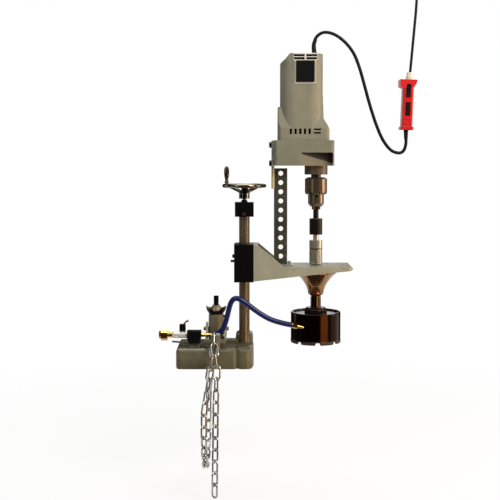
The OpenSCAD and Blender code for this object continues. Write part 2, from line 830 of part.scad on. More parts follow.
// A bush in two lengths, open at the back for the feed key
module slide_bushes() {
    color("goldenrod") for (z = [slide_z, slide_top - bush_h]) translate([column_x, 0, z]) difference() {
        ring(2 * bush_r - 2 * seat_gap, column_d + 2 * run_gap, bush_h);
        translate([-slot_w / 2, 0, -past]) cube([slot_w, column_d, bush_h + 2 * past]);
    }
}

module cap_screw(length) {
    translate([0, 0, -length]) rod(cap_screw_d, length);
    difference() {
        rod(cap_head_d, cap_screw_d);
        translate([0, 0, 2]) cylinder(d = 4.6, h = cap_screw_d, $fn = 6);
    }
}

module arm_screws() {
    color("black") {
        for (s = [-1, 1], z = cap_screw_z)
            translate([column_x + s * cap_screw_x, arm_w / 2, z]) rotate([-90, 0, 0])
                cap_screw(arm_w / 2 + 12);
        translate([slide_x0, -lock_y, gib_z]) rotate([0, -90, 0]) cap_screw(gib_len);
        for (a = [45 : 90 : 315]) translate([saw_x, 0, arm_top - cap_screw_d]) rotate(a)
            translate([flange_screw_r, 0, 0]) cap_screw(arm_top - cap_screw_d - flange_z + flange_thread);
        for (q = foot_holes) translate([q[0], q[1], arm_top + angle_t]) cap_screw(angle_t + 7);
        for (z = case_bolt_z) translate([case_x0 - plate_t, bolt_y, z]) hex_bolt(plate_t + case_wall);
        for (z = plate_bolt_z)
            translate([case_x0 + angle_t, bolt_y, z]) mirror([1, 0, 0]) hex_bolt(angle_t + plate_t);
        for (z = foot_bolt_z)
            translate([case_x0 + 2 * angle_t, bolt_y, z]) mirror([1, 0, 0]) hex_bolt(2 * angle_t);
    }
}

// Lock screw with a small cross bar
module slide_lock_screw() {
    tip = column_x - sqrt(column_r * column_r - pow(lock_y - lock_d / 2, 2)) - slip_gap;
    out = 9;
    color("dimgray") {
        translate([slide_x0 - out, -lock_y, lock_z]) rod_x(lock_d, tip - slide_x0 + out);
        translate([slide_x0 - 2 * out / 3, -lock_y - lock_bar_l / 2, lock_z]) rod_y(lock_d / 2, lock_bar_l);
    }
}

// A flared housing that carries the cutter spindle under the arm
module bearing_housing() {
    low_r = 18.3;
    low_z = housing_z + 5;
    flare_h = flange_z - 4 - low_z;
    steps = 12;
    flare = [for (k = [0 : steps]) let (t = k / steps)
        [low_r + (housing_d / 2 - low_r) * pow(t, 1.8), low_z + flare_h * t]];
    color("saddlebrown") translate([saw_x, 0, 0]) difference() {
        union() {
            rotate_extrude() polygon(concat([[0, housing_z], [13.2, housing_z]], flare,
                [[housing_d / 2, flange_z], [0, flange_z]]));
            translate([0, 0, flange_z - past]) rod(spigot_d, spigot_h + past);
        }
        translate([0, 0, housing_z - past]) rod(spindle_d + 4, 100);
        translate([0, 0, low_bearing_z]) rod(low_bearing_d + 2 * seat_gap, 100);
        translate([0, 0, high_bearing_z]) rod(high_bearing_d + 2 * seat_gap, 100);
        for (a = [45 : 90 : 315]) rotate(a) translate([flange_screw_r, 0, flange_z - flange_thread])
            rod(cap_screw_d + 2 * seat_gap, 2 * flange_thread);
    }
}

low_bearing_z = housing_z + 7;
low_bearing_d = spindle_d + 11;
high_bearing_z = flange_z - 8;
high_bearing_d = spindle_d + 22;
bearing_h = 12;

module ball_bearings() {
    color("lightgray") {
        translate([saw_x, 0, low_bearing_z]) ring(low_bearing_d, spindle_d + 2 * run_gap, bearing_h - 2);
        translate([saw_x, 0, high_bearing_z]) ring(high_bearing_d, spindle_d + 2 * run_gap, bearing_h);
        translate([saw_x, 0, drill_bearing_z])
            ring(drill_bearing_d, drill_spindle_d + 2 * run_gap, bearing_h);
        translate([saw_x, 0, case_top])
            ring(drill_top_bearing_d, drill_top_d + 2 * run_gap, motor_floor - 1);
        translate([counter_x, counter_dy, gear_z + case_wall])
            ring(counter_bush_d, counter_shaft_d + 2 * run_gap, 6);
        translate([counter_x, counter_dy, case_top])
            ring(counter_bush_d, counter_shaft_d + 2 * run_gap, motor_floor - 1);
        translate([motor_x, 0, case_top])
            ring(motor_low_bearing_d, armature_d + 2 * run_gap, motor_floor - 1);
        translate([motor_x, 0, bridge_z + past]) ring(motor_top_bearing_d, armature_d + 2 * run_gap, 9);
    }
}

drill_bearing_z = gear_z - 15;
drill_bearing_d = 40;
drill_spindle_d = 16;
drill_top_d = 10;
drill_top_bearing_d = 22;
motor_low_bearing_d = 28;
motor_top_bearing_d = 26;
counter_bush_d = 14;
counter_shaft_d = 8;
armature_d = 10;

// Drill bracket

module bracket_foot() {
    inner_x = case_x0 + angle_t;
    color("gainsboro") difference() {
        union() {
            translate([inner_x, -26, arm_top]) cube([angle_w + 12, 50, angle_t]);
            translate([inner_x, -angle_w / 2 + angle_t, arm_top]) cube([angle_t, angle_w - angle_t, 32]);
        }
        for (q = foot_holes) translate([q[0], q[1], arm_top - past]) rod(cap_screw_d + 2 * seat_gap, 10);
        for (z = foot_bolt_z) translate([case_x0, bolt_y, z]) rod_x(bolt_d + 2 * seat_gap, 20);
    }
}

bolt_d = 8;
bolt_y = 4;
foot_bolt_z = [arm_top + 20];
plate_bolt_z = [gear_z - 38, gear_z - 18];
case_bolt_z = [gear_z + 6, gear_z + 50];
angle_z = arm_top + angle_t;
angle_top = gear_z - 6;

module bracket_angle() {
    rows = floor((angle_top - angle_z - 12 - hole_d) / hole_pitch) + 1;
    color("darkgray") difference() {
        translate([case_x0, -angle_w / 2, angle_z]) union() {
            cube([angle_w, angle_t, angle_top - angle_z]);
            cube([angle_t, angle_w, angle_top - angle_z]);
        }
        for (k = [0 : rows - 1])
            translate([case_x0 + angle_w / 2, -angle_w / 2 - past, angle_top - 12 - k * hole_pitch])
                rod_y(hole_d, angle_t + 2 * past);
        for (z = concat(foot_bolt_z, plate_bolt_z))
            translate([case_x0 - past, bolt_y, z]) rod_x(bolt_d + 2 * seat_gap, angle_t + 2 * past);
    }
}

module bracket_plate() {
    color("lightgray") difference() {
        translate([case_x0 - plate_t, -plate_w / 2, gear_z - plate_drop])
            cube([plate_t, plate_w, gear_h + plate_drop]);
        for (z = concat(plate_bolt_z, case_bolt_z))
            translate([case_x0 - plate_t - past, bolt_y, z])
                rod_x(bolt_d + 2 * seat_gap, plate_t + 2 * past);
    }
}

// A hex bolt along X: head at x below 0, shank above
module hex_bolt(length) {
    translate([-6, 0, 0]) rotate([0, 90, 0]) cylinder(d = 14, h = 6, $fn = 6);
    rod_x(bolt_d, length);
}

// Drill

case_mid = (case_x0 + case_x1) / 2;
case_w = case_x1 - case_x0;
skirt_w = skirt_left + skirt_right;
skirt_mid = motor_x + (skirt_right - skirt_left) / 2;

module gear_case() {
    color("gray") difference() {
        union() {
            translate([case_mid, 0, gear_z]) linear_extrude(gear_h) round_rect(case_w, gear_case_d, 8);
            translate([saw_x, 0, gear_z - nose_h]) rod(2 * nose_r, nose_h + past);
        }
        difference() {
            union() {
                translate([case_mid, 0, gear_z + case_wall]) linear_extrude(gear_h - 2 * case_wall)
                    round_rect(case_w - 2 * case_wall, gear_case_d - 2 * case_wall, 6);
                translate([skirt_mid, 0, gear_z + gear_h / 2]) linear_extrude(gear_h)
                    round_rect(skirt_w - 16, motor_d - 16, 20);
            }
            scoop(case_wall);
            translate([counter_x, counter_dy, gear_z])
                ring(counter_bush_d + 6, counter_bush_d + 2 * seat_gap, case_wall + 6);
            translate([saw_x, 0, gear_z]) ring(drill_bearing_d + 10, drill_bearing_d, case_wall + 3);
        }
        scoop(0);
        translate([saw_x, 0, gear_z - nose_h - past]) rod(drill_spindle_d + 8, 2 * nose_h);
        translate([saw_x, 0, drill_bearing_z]) rod(drill_bearing_d + 2 * seat_gap, nose_h + case_wall);
        translate([counter_x, counter_dy, gear_z + case_wall]) rod(counter_bush_d + 2 * seat_gap, 20);
        for (z = case_bolt_z)
            translate([case_x0 - past, bolt_y, z]) rod_x(bolt_d + 2 * seat_gap, case_wall + 2 * past);
    }
}

// The finger scoop at the gear case's lower right, deeper towards the right
module scoop(skin) {
    front = -gear_case_d / 2;
    right = case_x1 - case_wall + skin / 2;
    translate([0, 0, gear_z - past]) linear_extrude(scoop_h + past + skin) polygon([
        [saw_x - scoop_w - 3 * skin, front - past], [right, front - past],
        [right, front + scoop_deep + skin]
    ]);
}

scoop_h = 31;
scoop_w = 42;
scoop_stop = 28;
scoop_deep = gear_case_d / 2 - scoop_stop;

module motor_shell(inset, z0, z1) {
    translate([motor_x, 0, z0]) linear_extrude(z1 - z0)
        round_rect(motor_w - 2 * inset, motor_d - 2 * inset, 32 - inset);
}

// The shoulder that slants off the housing's upper left corner
module shoulder_cut() {
    left = motor_x - motor_w / 2;
    side_extrude(-motor_d, motor_d) polygon([
        [left - 20, housing_top - 5], [left - past, housing_top - 5], [left + 11, housing_top + 5],
        [left + 21, housing_top + cap_h], [left + 21, housing_top + 60], [left - 20, housing_top + 60]
    ]);
}

module motor_housing() {
    front = -motor_d / 2;
    skirt_h = 107;
    left_h = 79;
    slope_y = 32;
    slope_z = case_top + 29;
    flare_z = case_top + 32;
    right = motor_x + motor_w / 2;
    color("gray") difference() {
        union() {
            motor_shell(0, case_top, housing_top);
            intersection() {
                translate([skirt_mid, 0, case_top]) linear_extrude(skirt_h)
                    round_rect(skirt_w, motor_d, 8);
                side_extrude(-motor_d, motor_d) polygon([
                    [skirt_mid - skirt_w, case_top], [motor_x + skirt_right, case_top],
                    [motor_x + skirt_right, flare_z - 6], [motor_x + skirt_right - 3, flare_z],
                    [right + 1, flare_z + 19], [right + 0.5, case_top + skirt_h],
                    [motor_x + 10, case_top + skirt_h], [motor_x - 10, case_top + left_h],
                    [skirt_mid - skirt_w, case_top + left_h]
                ]);
                rotate([0, 0, 90]) side_extrude(-saw_x - motor_w, 0) polygon([
                    [front, case_top], [front, slope_z], [front + slope_y, case_top + skirt_h],
                    [-front - slope_y, case_top + skirt_h], [-front, slope_z], [-front, case_top]
                ]);
            }
            translate([switch_x - switch_w / 2 - bezel_w, front - bezel_t, switch_z - bezel_w])
                cube([switch_w + 2 * bezel_w, bezel_t + 4, housing_top - switch_z + bezel_w]);
        }
        shoulder_cut();
        motor_shell(motor_wall, case_top + motor_floor, bridge_z);
        translate([switch_x, front - 5, switch_z + switch_h / 2]) rotate([-90, 0, 0])
            linear_extrude(5 + switch_depth)
                square([switch_w + 2 * slip_gap, switch_h + 2 * slip_gap], center = true);
        for (k = [0 : louvres - 1])
            translate([motor_x - 29.5 + 2 * k * louvre_w, front - past, case_top + 14])
                cube([louvre_w, 12, 13]);
        for (z = [15, 23])
            translate([motor_x + 27, front - past, case_top + z]) cube([17, 16, 4]);
        translate([motor_x, 0, case_top - past]) {
            rod(armature_d + 4, 60);
            rod(motor_low_bearing_d + 2 * seat_gap, motor_floor);
        }
        translate([motor_x, 0, bridge_z - past]) rod(motor_top_bearing_d + 2 * seat_gap, 10 + past);
        translate([saw_x, 0, case_top - past]) rod(drill_top_bearing_d + 2 * seat_gap, motor_floor);
        translate([counter_x, counter_dy, case_top - past]) rod(counter_bush_d + 2 * seat_gap, motor_floor);
        translate([motor_x, 0, bridge_z]) rod(armature_d + 2, 14);
    }
}

module end_cap() {
    front = -motor_d / 2;
    color("gray") difference() {
        union() {
            motor_shell(0, housing_top, housing_top + cap_h);
            translate([switch_x - 28, front - 1.5, housing_top]) cube([56, 20, cap_h - 1]);
            translate([motor_cord_pts[0][0], 0, housing_top + cap_h - past])
                cylinder(d1 = motor_cord_d + 8, d2 = motor_cord_d + 5, h = cord_boss_h + past);
        }
        shoulder_cut();
        motor_shell(motor_wall + 2, housing_top - past, housing_top + cap_h - 5);
        for (x = [switch_x - 26.5, switch_x + 2.5], z = [3, 10])
            translate([x, front - 3, housing_top + z]) cube([24, 12, 3.5]);
    }
}

module switch_paddle() {
    front = -motor_d / 2;
    color("black") translate([switch_x, front - 4, switch_z + switch_h / 2]) rotate([-90, 0, 0])
        linear_extrude(switch_depth) round_rect(switch_w, switch_h, 3);
}

core_z = case_top + 36;
core_h = 66;
fan_z = case_top + motor_floor + 5;
commutator_z = core_z + core_h + 14;
commutator_d = 30;
rotor_d = 49;
fan_d = 74;
fan_h = 14;
blades = 12;

module stator() {
    color("dimgray") translate([motor_x, 0, core_z])
        ring(motor_w - 2 * motor_wall - 2 * seat_gap, rotor_d + 2, core_h);
}

module carbon_brushes() {
    color("black") translate([motor_x, 0, commutator_z + 5]) for (s = [0, 1]) mirror([s, 0, 0])
        translate([commutator_d / 2 + slip_gap, -4, 0])
            cube([(motor_w - commutator_d) / 2 - motor_wall - slip_gap - seat_gap, 8, 10]);
}

module armature() {
    color("sienna") translate([motor_x, 0, 0]) {
        translate([0, 0, fast_z - 1]) rod(armature_d - 2, 12);
        translate([0, 0, fast_z - 1])
            gear(teeth_small, fast_module, fast_h + 2, mesh_fast + 180 + 180 / teeth_small);
        translate([0, 0, fast_z + fast_h]) rod(armature_d, bridge_z + 10 - fast_z - fast_h);
        translate([0, 0, core_z]) rod(rotor_d, core_h);
        translate([0, 0, commutator_z]) rod(commutator_d, 20);
        translate([0, 0, fan_z]) {
            ring(fan_d, armature_d - 2, 3);
            ring(22, armature_d - 2, fan_h);
            for (k = [0 : blades - 1]) rotate(360 / blades * k)
                translate([10, -1, 0]) cube([fan_d / 2 - 11, 2, fan_h]);
        }
    }
}

module counter_gear() {
    foot_z = gear_z + case_wall + 0.5;
    color("slategray") translate([counter_x, counter_dy, 0]) {
        translate([0, 0, foot_z]) rod(counter_shaft_d, case_top + motor_floor - 3 - foot_z);
        translate([0, 0, slow_z - 1])
            gear(teeth_small, slow_module, slow_h + 2, mesh_slow + 180 + 180 / teeth_small);
        translate([0, 0, fast_z]) gear(teeth_large, fast_module, fast_h, mesh_fast);
    }
}

module drill_spindle() {
    neck_z = chuck_z + chuck_h;
    color("silver") translate([saw_x, 0, 0]) {
        translate([0, 0, neck_z - 16]) rod(drill_spindle_d, case_top - 4 - neck_z + 16);
        translate([0, 0, case_top - 5]) rod(drill_top_d, motor_floor + 1);
        translate([0, 0, neck_z]) rod(drill_spindle_d + 7.5, gear_z - nose_h + 5 - neck_z);
        translate([0, 0, slow_z]) gear(teeth_large, slow_module, slow_h, mesh_slow);
    }
}

// Drive line

module chuck_body() {
    body_r = 19;
    top_z = chuck_z + chuck_h;
    color("gray") translate([saw_x, 0, 0]) difference() {
        rotate_extrude() polygon([
            [0, chuck_z], [body_r - 5, chuck_z], [body_r, chuck_z + 7], [body_r, sleeve_z],
            [core_r, sleeve_z], [core_r, sleeve_z + sleeve_h], [body_r + 3, sleeve_z + sleeve_h + 0.2],
            [body_r + 1, top_z], [0, top_z]
        ]);
        translate([0, 0, chuck_z - past]) rod(shank_d + 2 * slip_gap, shank_grip + 3);
        translate([0, 0, top_z - 16]) rod(drill_spindle_d + 2 * seat_gap, 20);
        for (k = [0 : 2]) rotate(120 * k + 90) jaw_axis() translate([0, 0, -10])
            rod(2 * (jaw_r + run_gap), jaw_h + 10 + 12);
        for (k = [0 : 2]) rotate(120 * k - 90) translate([10, 0, sleeve_z - 5]) rod_x(6, 20);
    }
}

// The slanted line that a jaw slides along, starting at the jaw's tip
module jaw_axis() {
    translate([jaw_axis_r, 0, jaw_z]) rotate([0, jaw_a, 0]) children();
}

module chuck_jaw(k) {
    color("dimgray") translate([saw_x, 0, 0]) difference() {
        rotate(120 * k + 90) jaw_axis() rod(2 * jaw_r, jaw_h);
        translate([0, 0, jaw_z - 10]) rod(shank_d + 0.2, jaw_h + 20);
    }
}

module chuck_jaw_1() {
    chuck_jaw(0);
}

module chuck_jaw_2() {
    chuck_jaw(1);
}

module chuck_jaw_3() {
    chuck_jaw(2);
}

module chuck_sleeve() {
    r = chuck_d / 2;
    teeth = 24;
    color("silver") translate([saw_x, 0, sleeve_z]) difference() {
        rotate_extrude() polygon([
            [core_r + run_gap, 0.1], [r - 3, 0.1], [r, 4], [r, sleeve_h - 2], [r - 2, sleeve_h - 0.1],
            [core_r + run_gap, sleeve_h - 0.1]
        ]);
        for (k = [0 : teeth - 1]) rotate(360 / teeth * k)
            translate([r - 4, -1.2, -past]) cube([8, 2.4, 6.5]);
    }
}

module drive_adapter() {
    color("black") translate([saw_x, 0, 0]) difference() {
        union() {
            translate([0, 0, adapter_z]) rod(coupling_d, adapter_h);
            translate([0, 0, adapter_z]) rod(shank_d, chuck_z + shank_grip - adapter_z);
        }
        translate([0, 0, adapter_z - past]) rod(shank_d + 2 * seat_gap, adapter_bore + past);
    }
}

module shaft_coupling() {
    groove_z = coupling_z + spindle_seat + 0.5;
    color("silver") translate([saw_x, 0, 0]) difference() {
        translate([0, 0, coupling_z]) rod(coupling_d, coupling_h);
        translate([0, 0, coupling_z - past]) rod(spindle_d + 2 * seat_gap, spindle_seat + past);
        translate([0, 0, coupling_z]) rod(shank_d + 2 * seat_gap, coupling_h + past);
        translate([0, 0, groove_z]) ring(coupling_d + 4, coupling_d - 2, 1.5);
        translate([0, -coupling_d / 2 - past, groove_z + 0.7]) rod_y(6, 4);
    }
}

module cutter_spindle() {
    tail_z = saw_plate_z - 6;
    color("dimgray") translate([saw_x, 0, 0]) {
        translate([0, 0, tail_z]) rod(hub_bore, nose_top - tail_z);
        translate([0, 0, hub_z + hub_h]) rod(spindle_d + 5, nose_top - hub_z - hub_h);
        translate([0, 0, nose_top]) rod(spindle_d, coupling_z + spindle_seat - nose_top);
        translate([0, 0, coupling_z + spindle_seat])
            rod(shank_d, adapter_z + adapter_bore - 1 - coupling_z - spindle_seat);
    }
}

hub_bore = 16;
drive_pin_r = 20;
drive_pin_d = 6;

module saw_hub() {
    color("dimgray") translate([saw_x, 0, 0]) {
        difference() {
            translate([0, 0, hub_z]) rotate_extrude()
                polygon([[0, 0], [27, 0], [27, hub_h - 5], [22, hub_h], [0, hub_h]]);
            translate([0, 0, hub_z - past]) rod(hub_bore + 2 * seat_gap, hub_h + 2 * past);
        }
        for (s = [-1, 1]) translate([s * drive_pin_r, 0, saw_plate_z]) rod(drive_pin_d, saw_plate_t + past);
    }
}

module hole_saw() {
    r = saw_d / 2;
    top = saw_z + saw_h;
    color("black") translate([saw_x, 0, 0]) difference() {
        rotate_extrude() polygon([
            [hub_bore / 2 + seat_gap, saw_plate_z], [r - saw_wall, saw_plate_z], [r - saw_wall, saw_z],
            [r + 0.5, saw_z], [r + 0.5, saw_z + 7], [r, saw_z + 8], [r, top - 1.5], [r - 1.5, top],
            [r - 5, top],
            [r - 6, saw_plate_z + saw_plate_t], [hub_bore / 2 + seat_gap, saw_plate_z + saw_plate_t]
        ]);
        for (k = [0 : gullets - 1]) rotate(360 / gullets * k - 89) translate([r - 3 * saw_wall, 0, saw_z])
            rotate([90, 0, 90]) linear_extrude(6 * saw_wall)
                polygon([[-7, -past], [7, -past], [4, 6], [-4, 6]]);
        for (s = [-1, 1]) translate([s * drive_pin_r, 0, saw_plate_z - past])
            rod(drive_pin_d + 2 * seat_gap, saw_plate_t + 2 * past);
    }
}

// Water line, along X at the front of the tower

module on_water_line(x) {
    translate([x, -water_y, water_z]) children();
}

holder_x = -68;
holder_w = 33.5;
line_d = 10;

module hose_holder() {
    low = base_top + pad_h + strap_t;
    color("black") difference() {
        side_extrude(-water_y - 13, -water_y + 13) polygon([
            [holder_x, water_z + 10], [holder_x + holder_w, water_z + 10],
            [holder_x + holder_w, water_z - 7], [holder_x + holder_w - 5, low], [holder_x + 6, low],
            [holder_x, water_z - 9]
        ]);
        on_water_line(holder_x - past) rod_x(line_d + 2 * seat_gap, holder_w + 2 * past);
    }
}

strap_t = 2;

module water_clip() {
    z = base_top + pad_h;
    line = [
        [holder_x - 36, z + 4], [holder_x - 8, z + 1.5], [holder_x + 6, z], [holder_x + holder_w - 5, z],
        [holder_x + holder_w, z + 3], [holder_x + holder_w + 5, z + 10]
    ];
    color("silver") side_extrude(-water_y - 7, -water_y + 7)
        polygon(concat(line, [for (k = [len(line) - 1 : -1 : 0]) line[k] + [0, strap_t]]));
}

module water_valve() {
    color("white") on_water_line(0) difference() {
        union() {
            translate([holder_x - valve_l, 0, 0]) rod_x(16, valve_l);
            translate([holder_x, 0, 0]) rod_x(line_d, 15);
            translate([valve_x, 0, 0]) rod(10, 9);
        }
        translate([holder_x - valve_l - past, 0, 0]) rod_x(water_bore, 50);
        translate([valve_x, 0, 4]) rod(valve_stem_d + 2 * slip_gap, 10);
    }
}

valve_x = holder_x - 11;
valve_l = 31;
valve_stem_d = 6;
water_bore = 7;

module valve_handle() {
    color("black") on_water_line(valve_x) {
        translate([0, 0, 4.3]) rod(valve_stem_d, 6);
        translate([-7.2, -6, 9.3]) cube([14.5, 12, 16]);
        translate([0, 0, 23]) rotate([0, 45, 0]) rod(4, 17);
        translate([10.5, 0, 33.5]) rotate([0, 90, 0]) rod(6, 4);
    }
}

module inlet_seal() {
    color("moccasin") on_water_line(holder_x - 35) difference() {
        rod_x(15, 4);
        translate([-past, 0, 0]) rod_x(water_bore, 6);
    }
}

module inlet_nut() {
    x0 = holder_x - 67;
    color("goldenrod") on_water_line(x0) difference() {
        union() {
            rotate([0, 90, 0]) cylinder(d1 = 17, d2 = 21, h = 5);
            translate([5, 0, 0]) rotate([0, 90, 0]) cylinder(d = 28, h = 15, $fn = 6);
            translate([19, 0, 0]) rod_x(13.4, 13 - slip_gap);
        }
        translate([-past, 0, 0]) rod_x(inlet_bore, 16);
        rod_x(water_bore, 40);
    }
}

inlet_bore = 12;

module hose_barb() {
    start = holder_x + 16;
    color("gold") on_water_line(0) difference() {
        union() {
            translate([start, 0, 0]) rod_x(line_d, holder_w - 16);
            translate([holder_x + holder_w, 0, 0]) rod_x(9, hose_pts[0][0] - holder_x - holder_w);
            for (x = [holder_x + holder_w + 2 : 6 : hose_pts[0][0] - 5])
                translate([x, 0, 0]) rotate([0, 90, 0]) cylinder(d1 = 11, d2 = 9, h = 4);
        }
        translate([start - past, 0, 0]) rod_x(5, 100);
    }
}

module water_hose() {
    color("royalblue") swept_tube(hose_pts, hose_d, 10, 2);
}

module spray_nozzle() {
    color("goldenrod") translate(hose_pts[len(hose_pts) - 1]) rotate([0, nozzle_a, 0]) difference() {
        union() {
            cylinder(d = hose_d + 1.5, h = 3);
            translate([0, 0, 3]) cylinder(d = 13, h = 11, $fn = 6);
            translate([0, 0, 14]) cylinder(d1 = 9, d2 = 4.5, h = nozzle_len - 14);
        }
        translate([0, 0, 8]) rod(2.4, nozzle_len);
    }
}

// Leads

module motor_cord() {
    color("black") swept_tube(motor_cord_pts, motor_cord_d, 8, 1);
}

module on_gfci() {
    translate([gfci_x, 0, gfci_z]) rotate([0, gfci_lean, 0]) children();
}

button_w = 10.5;
button_h = 31;
test_z = 34;
reset_z = 77;
button_depth = 8;

module gfci_case() {
    color("crimson") on_gfci() difference() {
        union() {
            translate([0, 0, 0.3]) linear_extrude(gfci_h - 0.3) round_rect(gfci_w, gfci_d, 4);
            translate([0, 0, 0.3]) linear_extrude(7) round_rect(gfci_w + 6, gfci_d + 4, 4);
            side_extrude(-gfci_d / 2 - 2, gfci_d / 2 + 2) polygon([
                [-gfci_w / 2 - 8, gfci_h - 16], [-gfci_w / 2 - 8, gfci_h], [gfci_w / 2 + 7, gfci_h],
                [gfci_w / 2 + 6, gfci_h - 8], [gfci_w / 2, gfci_h - 18], [-gfci_w / 2, gfci_h - 20]
            ]);
        }
        for (z = [test_z, reset_z])
            translate([-button_w / 2 - slip_gap, -gfci_d, z - slip_gap])
                cube([button_w + 2 * slip_gap, gfci_d / 2 + button_depth + 2, button_h + 2 * slip_gap]);
    }
}

module gfci_gland() {
    color("cornsilk") on_gfci() translate([gland_x, 0, gfci_h]) {
        cylinder(d = 19, h = 7);
        translate([0, 0, 7]) cylinder(d = 16, h = gland_h - 7, $fn = 8);
    }
}

module gfci_button(z) {
    color("black") on_gfci() translate([-button_w / 2, -gfci_d / 2 - 1.5, z])
        cube([button_w, button_depth, button_h]);
}

module gfci_test_button() {
    gfci_button(test_z);
}

module gfci_reset_button() {
    gfci_button(reset_z);
}

module supply_cord() {
    color("black") swept_tube(supply_pts, supply_cord_d, 8, 2);
}

plug_neck = 12;
plug_h = 24;
blade_x = 6.4;
blade_w = 6.4;
blade_t = 1.6;

module supply_plug() {
    end = supply_pts[len(supply_pts) - 1];
    color("black") translate(end) {
        cylinder(d1 = supply_cord_d + 5, d2 = 22, h = plug_neck);
        translate([0, 0, plug_neck]) linear_extrude(plug_h) round_rect(34, 28, 8);
        for (s = [-1, 1])
            translate([s * blade_x - blade_t / 2, -blade_w / 2, plug_neck + plug_h])
                cube([blade_t, blade_w, 17]);
        translate([0, 8, plug_neck + plug_h]) rod(4.8, 20);
    }
}

saddle_base();
key_screws();
column();
top_block();
thrust_bearing();
water_clip();
hose_holder();
water_valve();
inlet_seal();
inlet_nut();
valve_handle();
hose_barb();
water_hose();
spray_nozzle();
tension_stud();
tension_yoke();
wing_nut();
chain_wrap();
chain_tail_upper();
chain_tail_lower();
handwheel();
feed_screw();
crank_handle();
feed_nut();
arm_casting();
slide_cap();
slide_bushes();
arm_screws();
slide_lock_screw();
bearing_housing();
ball_bearings();
bracket_foot();
bracket_angle();
bracket_plate();
gear_case();
motor_housing();
end_cap();
switch_paddle();
stator();
carbon_brushes();
armature();
counter_gear();
drill_spindle();
chuck_body();
chuck_sleeve();
chuck_jaw_1();
chuck_jaw_2();
chuck_jaw_3();
drive_adapter();
shaft_coupling();
cutter_spindle();
saw_hub();
hole_saw();
motor_cord();
gfci_case();
gfci_gland();
gfci_test_button();
gfci_reset_button();
supply_cord();
supply_plug();
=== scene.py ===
"""Looks of an electric pipe hole cutter: finishes, leads, hose, studio and camera."""

import logging
import math
from dataclasses import dataclass, field
from enum import Enum

import bpy
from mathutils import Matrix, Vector


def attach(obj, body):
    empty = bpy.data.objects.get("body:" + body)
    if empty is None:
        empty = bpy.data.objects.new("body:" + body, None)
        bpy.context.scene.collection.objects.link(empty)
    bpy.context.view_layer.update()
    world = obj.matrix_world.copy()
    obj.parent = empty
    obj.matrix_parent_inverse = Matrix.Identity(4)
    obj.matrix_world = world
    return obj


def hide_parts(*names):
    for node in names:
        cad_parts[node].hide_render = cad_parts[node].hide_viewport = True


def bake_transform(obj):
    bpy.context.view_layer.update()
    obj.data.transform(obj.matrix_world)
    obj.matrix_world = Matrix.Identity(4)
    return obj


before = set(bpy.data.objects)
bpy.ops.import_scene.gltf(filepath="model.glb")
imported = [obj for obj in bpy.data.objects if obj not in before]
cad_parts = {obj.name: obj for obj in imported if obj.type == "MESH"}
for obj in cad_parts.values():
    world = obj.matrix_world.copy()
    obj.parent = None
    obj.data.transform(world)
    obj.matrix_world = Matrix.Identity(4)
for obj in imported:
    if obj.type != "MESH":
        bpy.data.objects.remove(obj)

LOG = logging.getLogger("hole_cutter")
MM = 0.001

# Above this metallic value a finish is bare metal, which drifts less and keeps its sharp edges.
BARE_METAL = 0.5
METAL_CALM = 0.3

# Where each pattern begins and ends to show, and the share of it that shows.
BLOTCH_EDGES = (0.32, 0.68)
SPECK_FINER = 9
SPECK_EDGES = (0.56, 0.8)
SPECK_SHARE = 0.45
SPECK_DARK = 0.72
SPANGLE_SHARE = 0.6
EDGE_MEET = (0.995, 0.9)
WEAR_EDGES = (0.35, 0.6)
# Painted shade towards the bottom: where its patches begin and end to show, their least share, and the share at
# the bottom.
LOW_SHADE_EDGES = (0.3, 0.7)
LOW_SHADE_LEAST = 0.6
LOW_SHADE_SHARE = 0.8
POLISH_EDGES = (0.3, 0.7)
POLISH_LEAST = 0.03
POLISH_DRIFT = (0.07, 0.09)
COAT_ROUGHNESS = 0.12
BUMP_DEPTH = 0.08

# What the machined metals share: a very low relief and wide, faint blotches.
FINE_RELIEF = 0.015
WIDE_BLOTCH_MM = 130

Tone = tuple[float, float, float]
Point = tuple[float, float, float]


class Grain(Enum):
    """The small relief that a finish shows close up."""

    CAST = "cast"
    MOULDED = "moulded"
    TURNED = "turned"
    GROUND = "ground"
    SPANGLE = "spangle"
    THREAD = "thread"
    FLUTED = "fluted"
    ENAMEL = "enamel"
    RUBBER = "rubber"
    LAMINATED = "laminated"


class Axis(Enum):
    """The axis that a turned piece or a span runs along, or the distance from a line along Z."""

    X = 0
    Y = 1
    Z = 2
    RADIUS = 3


def linear(tone: Tone) -> tuple[float, float, float, float]:
    """Turns a given tone into the shader's linear colour.

    Args:
        tone: Red, green and blue from 0 to 255.

    Returns:
        The linear colour with full alpha.
    """
    parts = [v / 255 for v in tone]
    red, green, blue = [v / 12.92 if v <= 0.04045 else ((v + 0.055) / 1.055) ** 2.4 for v in parts]
    return red, green, blue, 1.0


def metres(points: list[Point]) -> list[Vector]:
    """Turns route points in millimetres into vectors in metres.

    Args:
        points: Route points in millimetres.

    Returns:
        The same points in metres.
    """
    return [Vector(p) * MM for p in points]


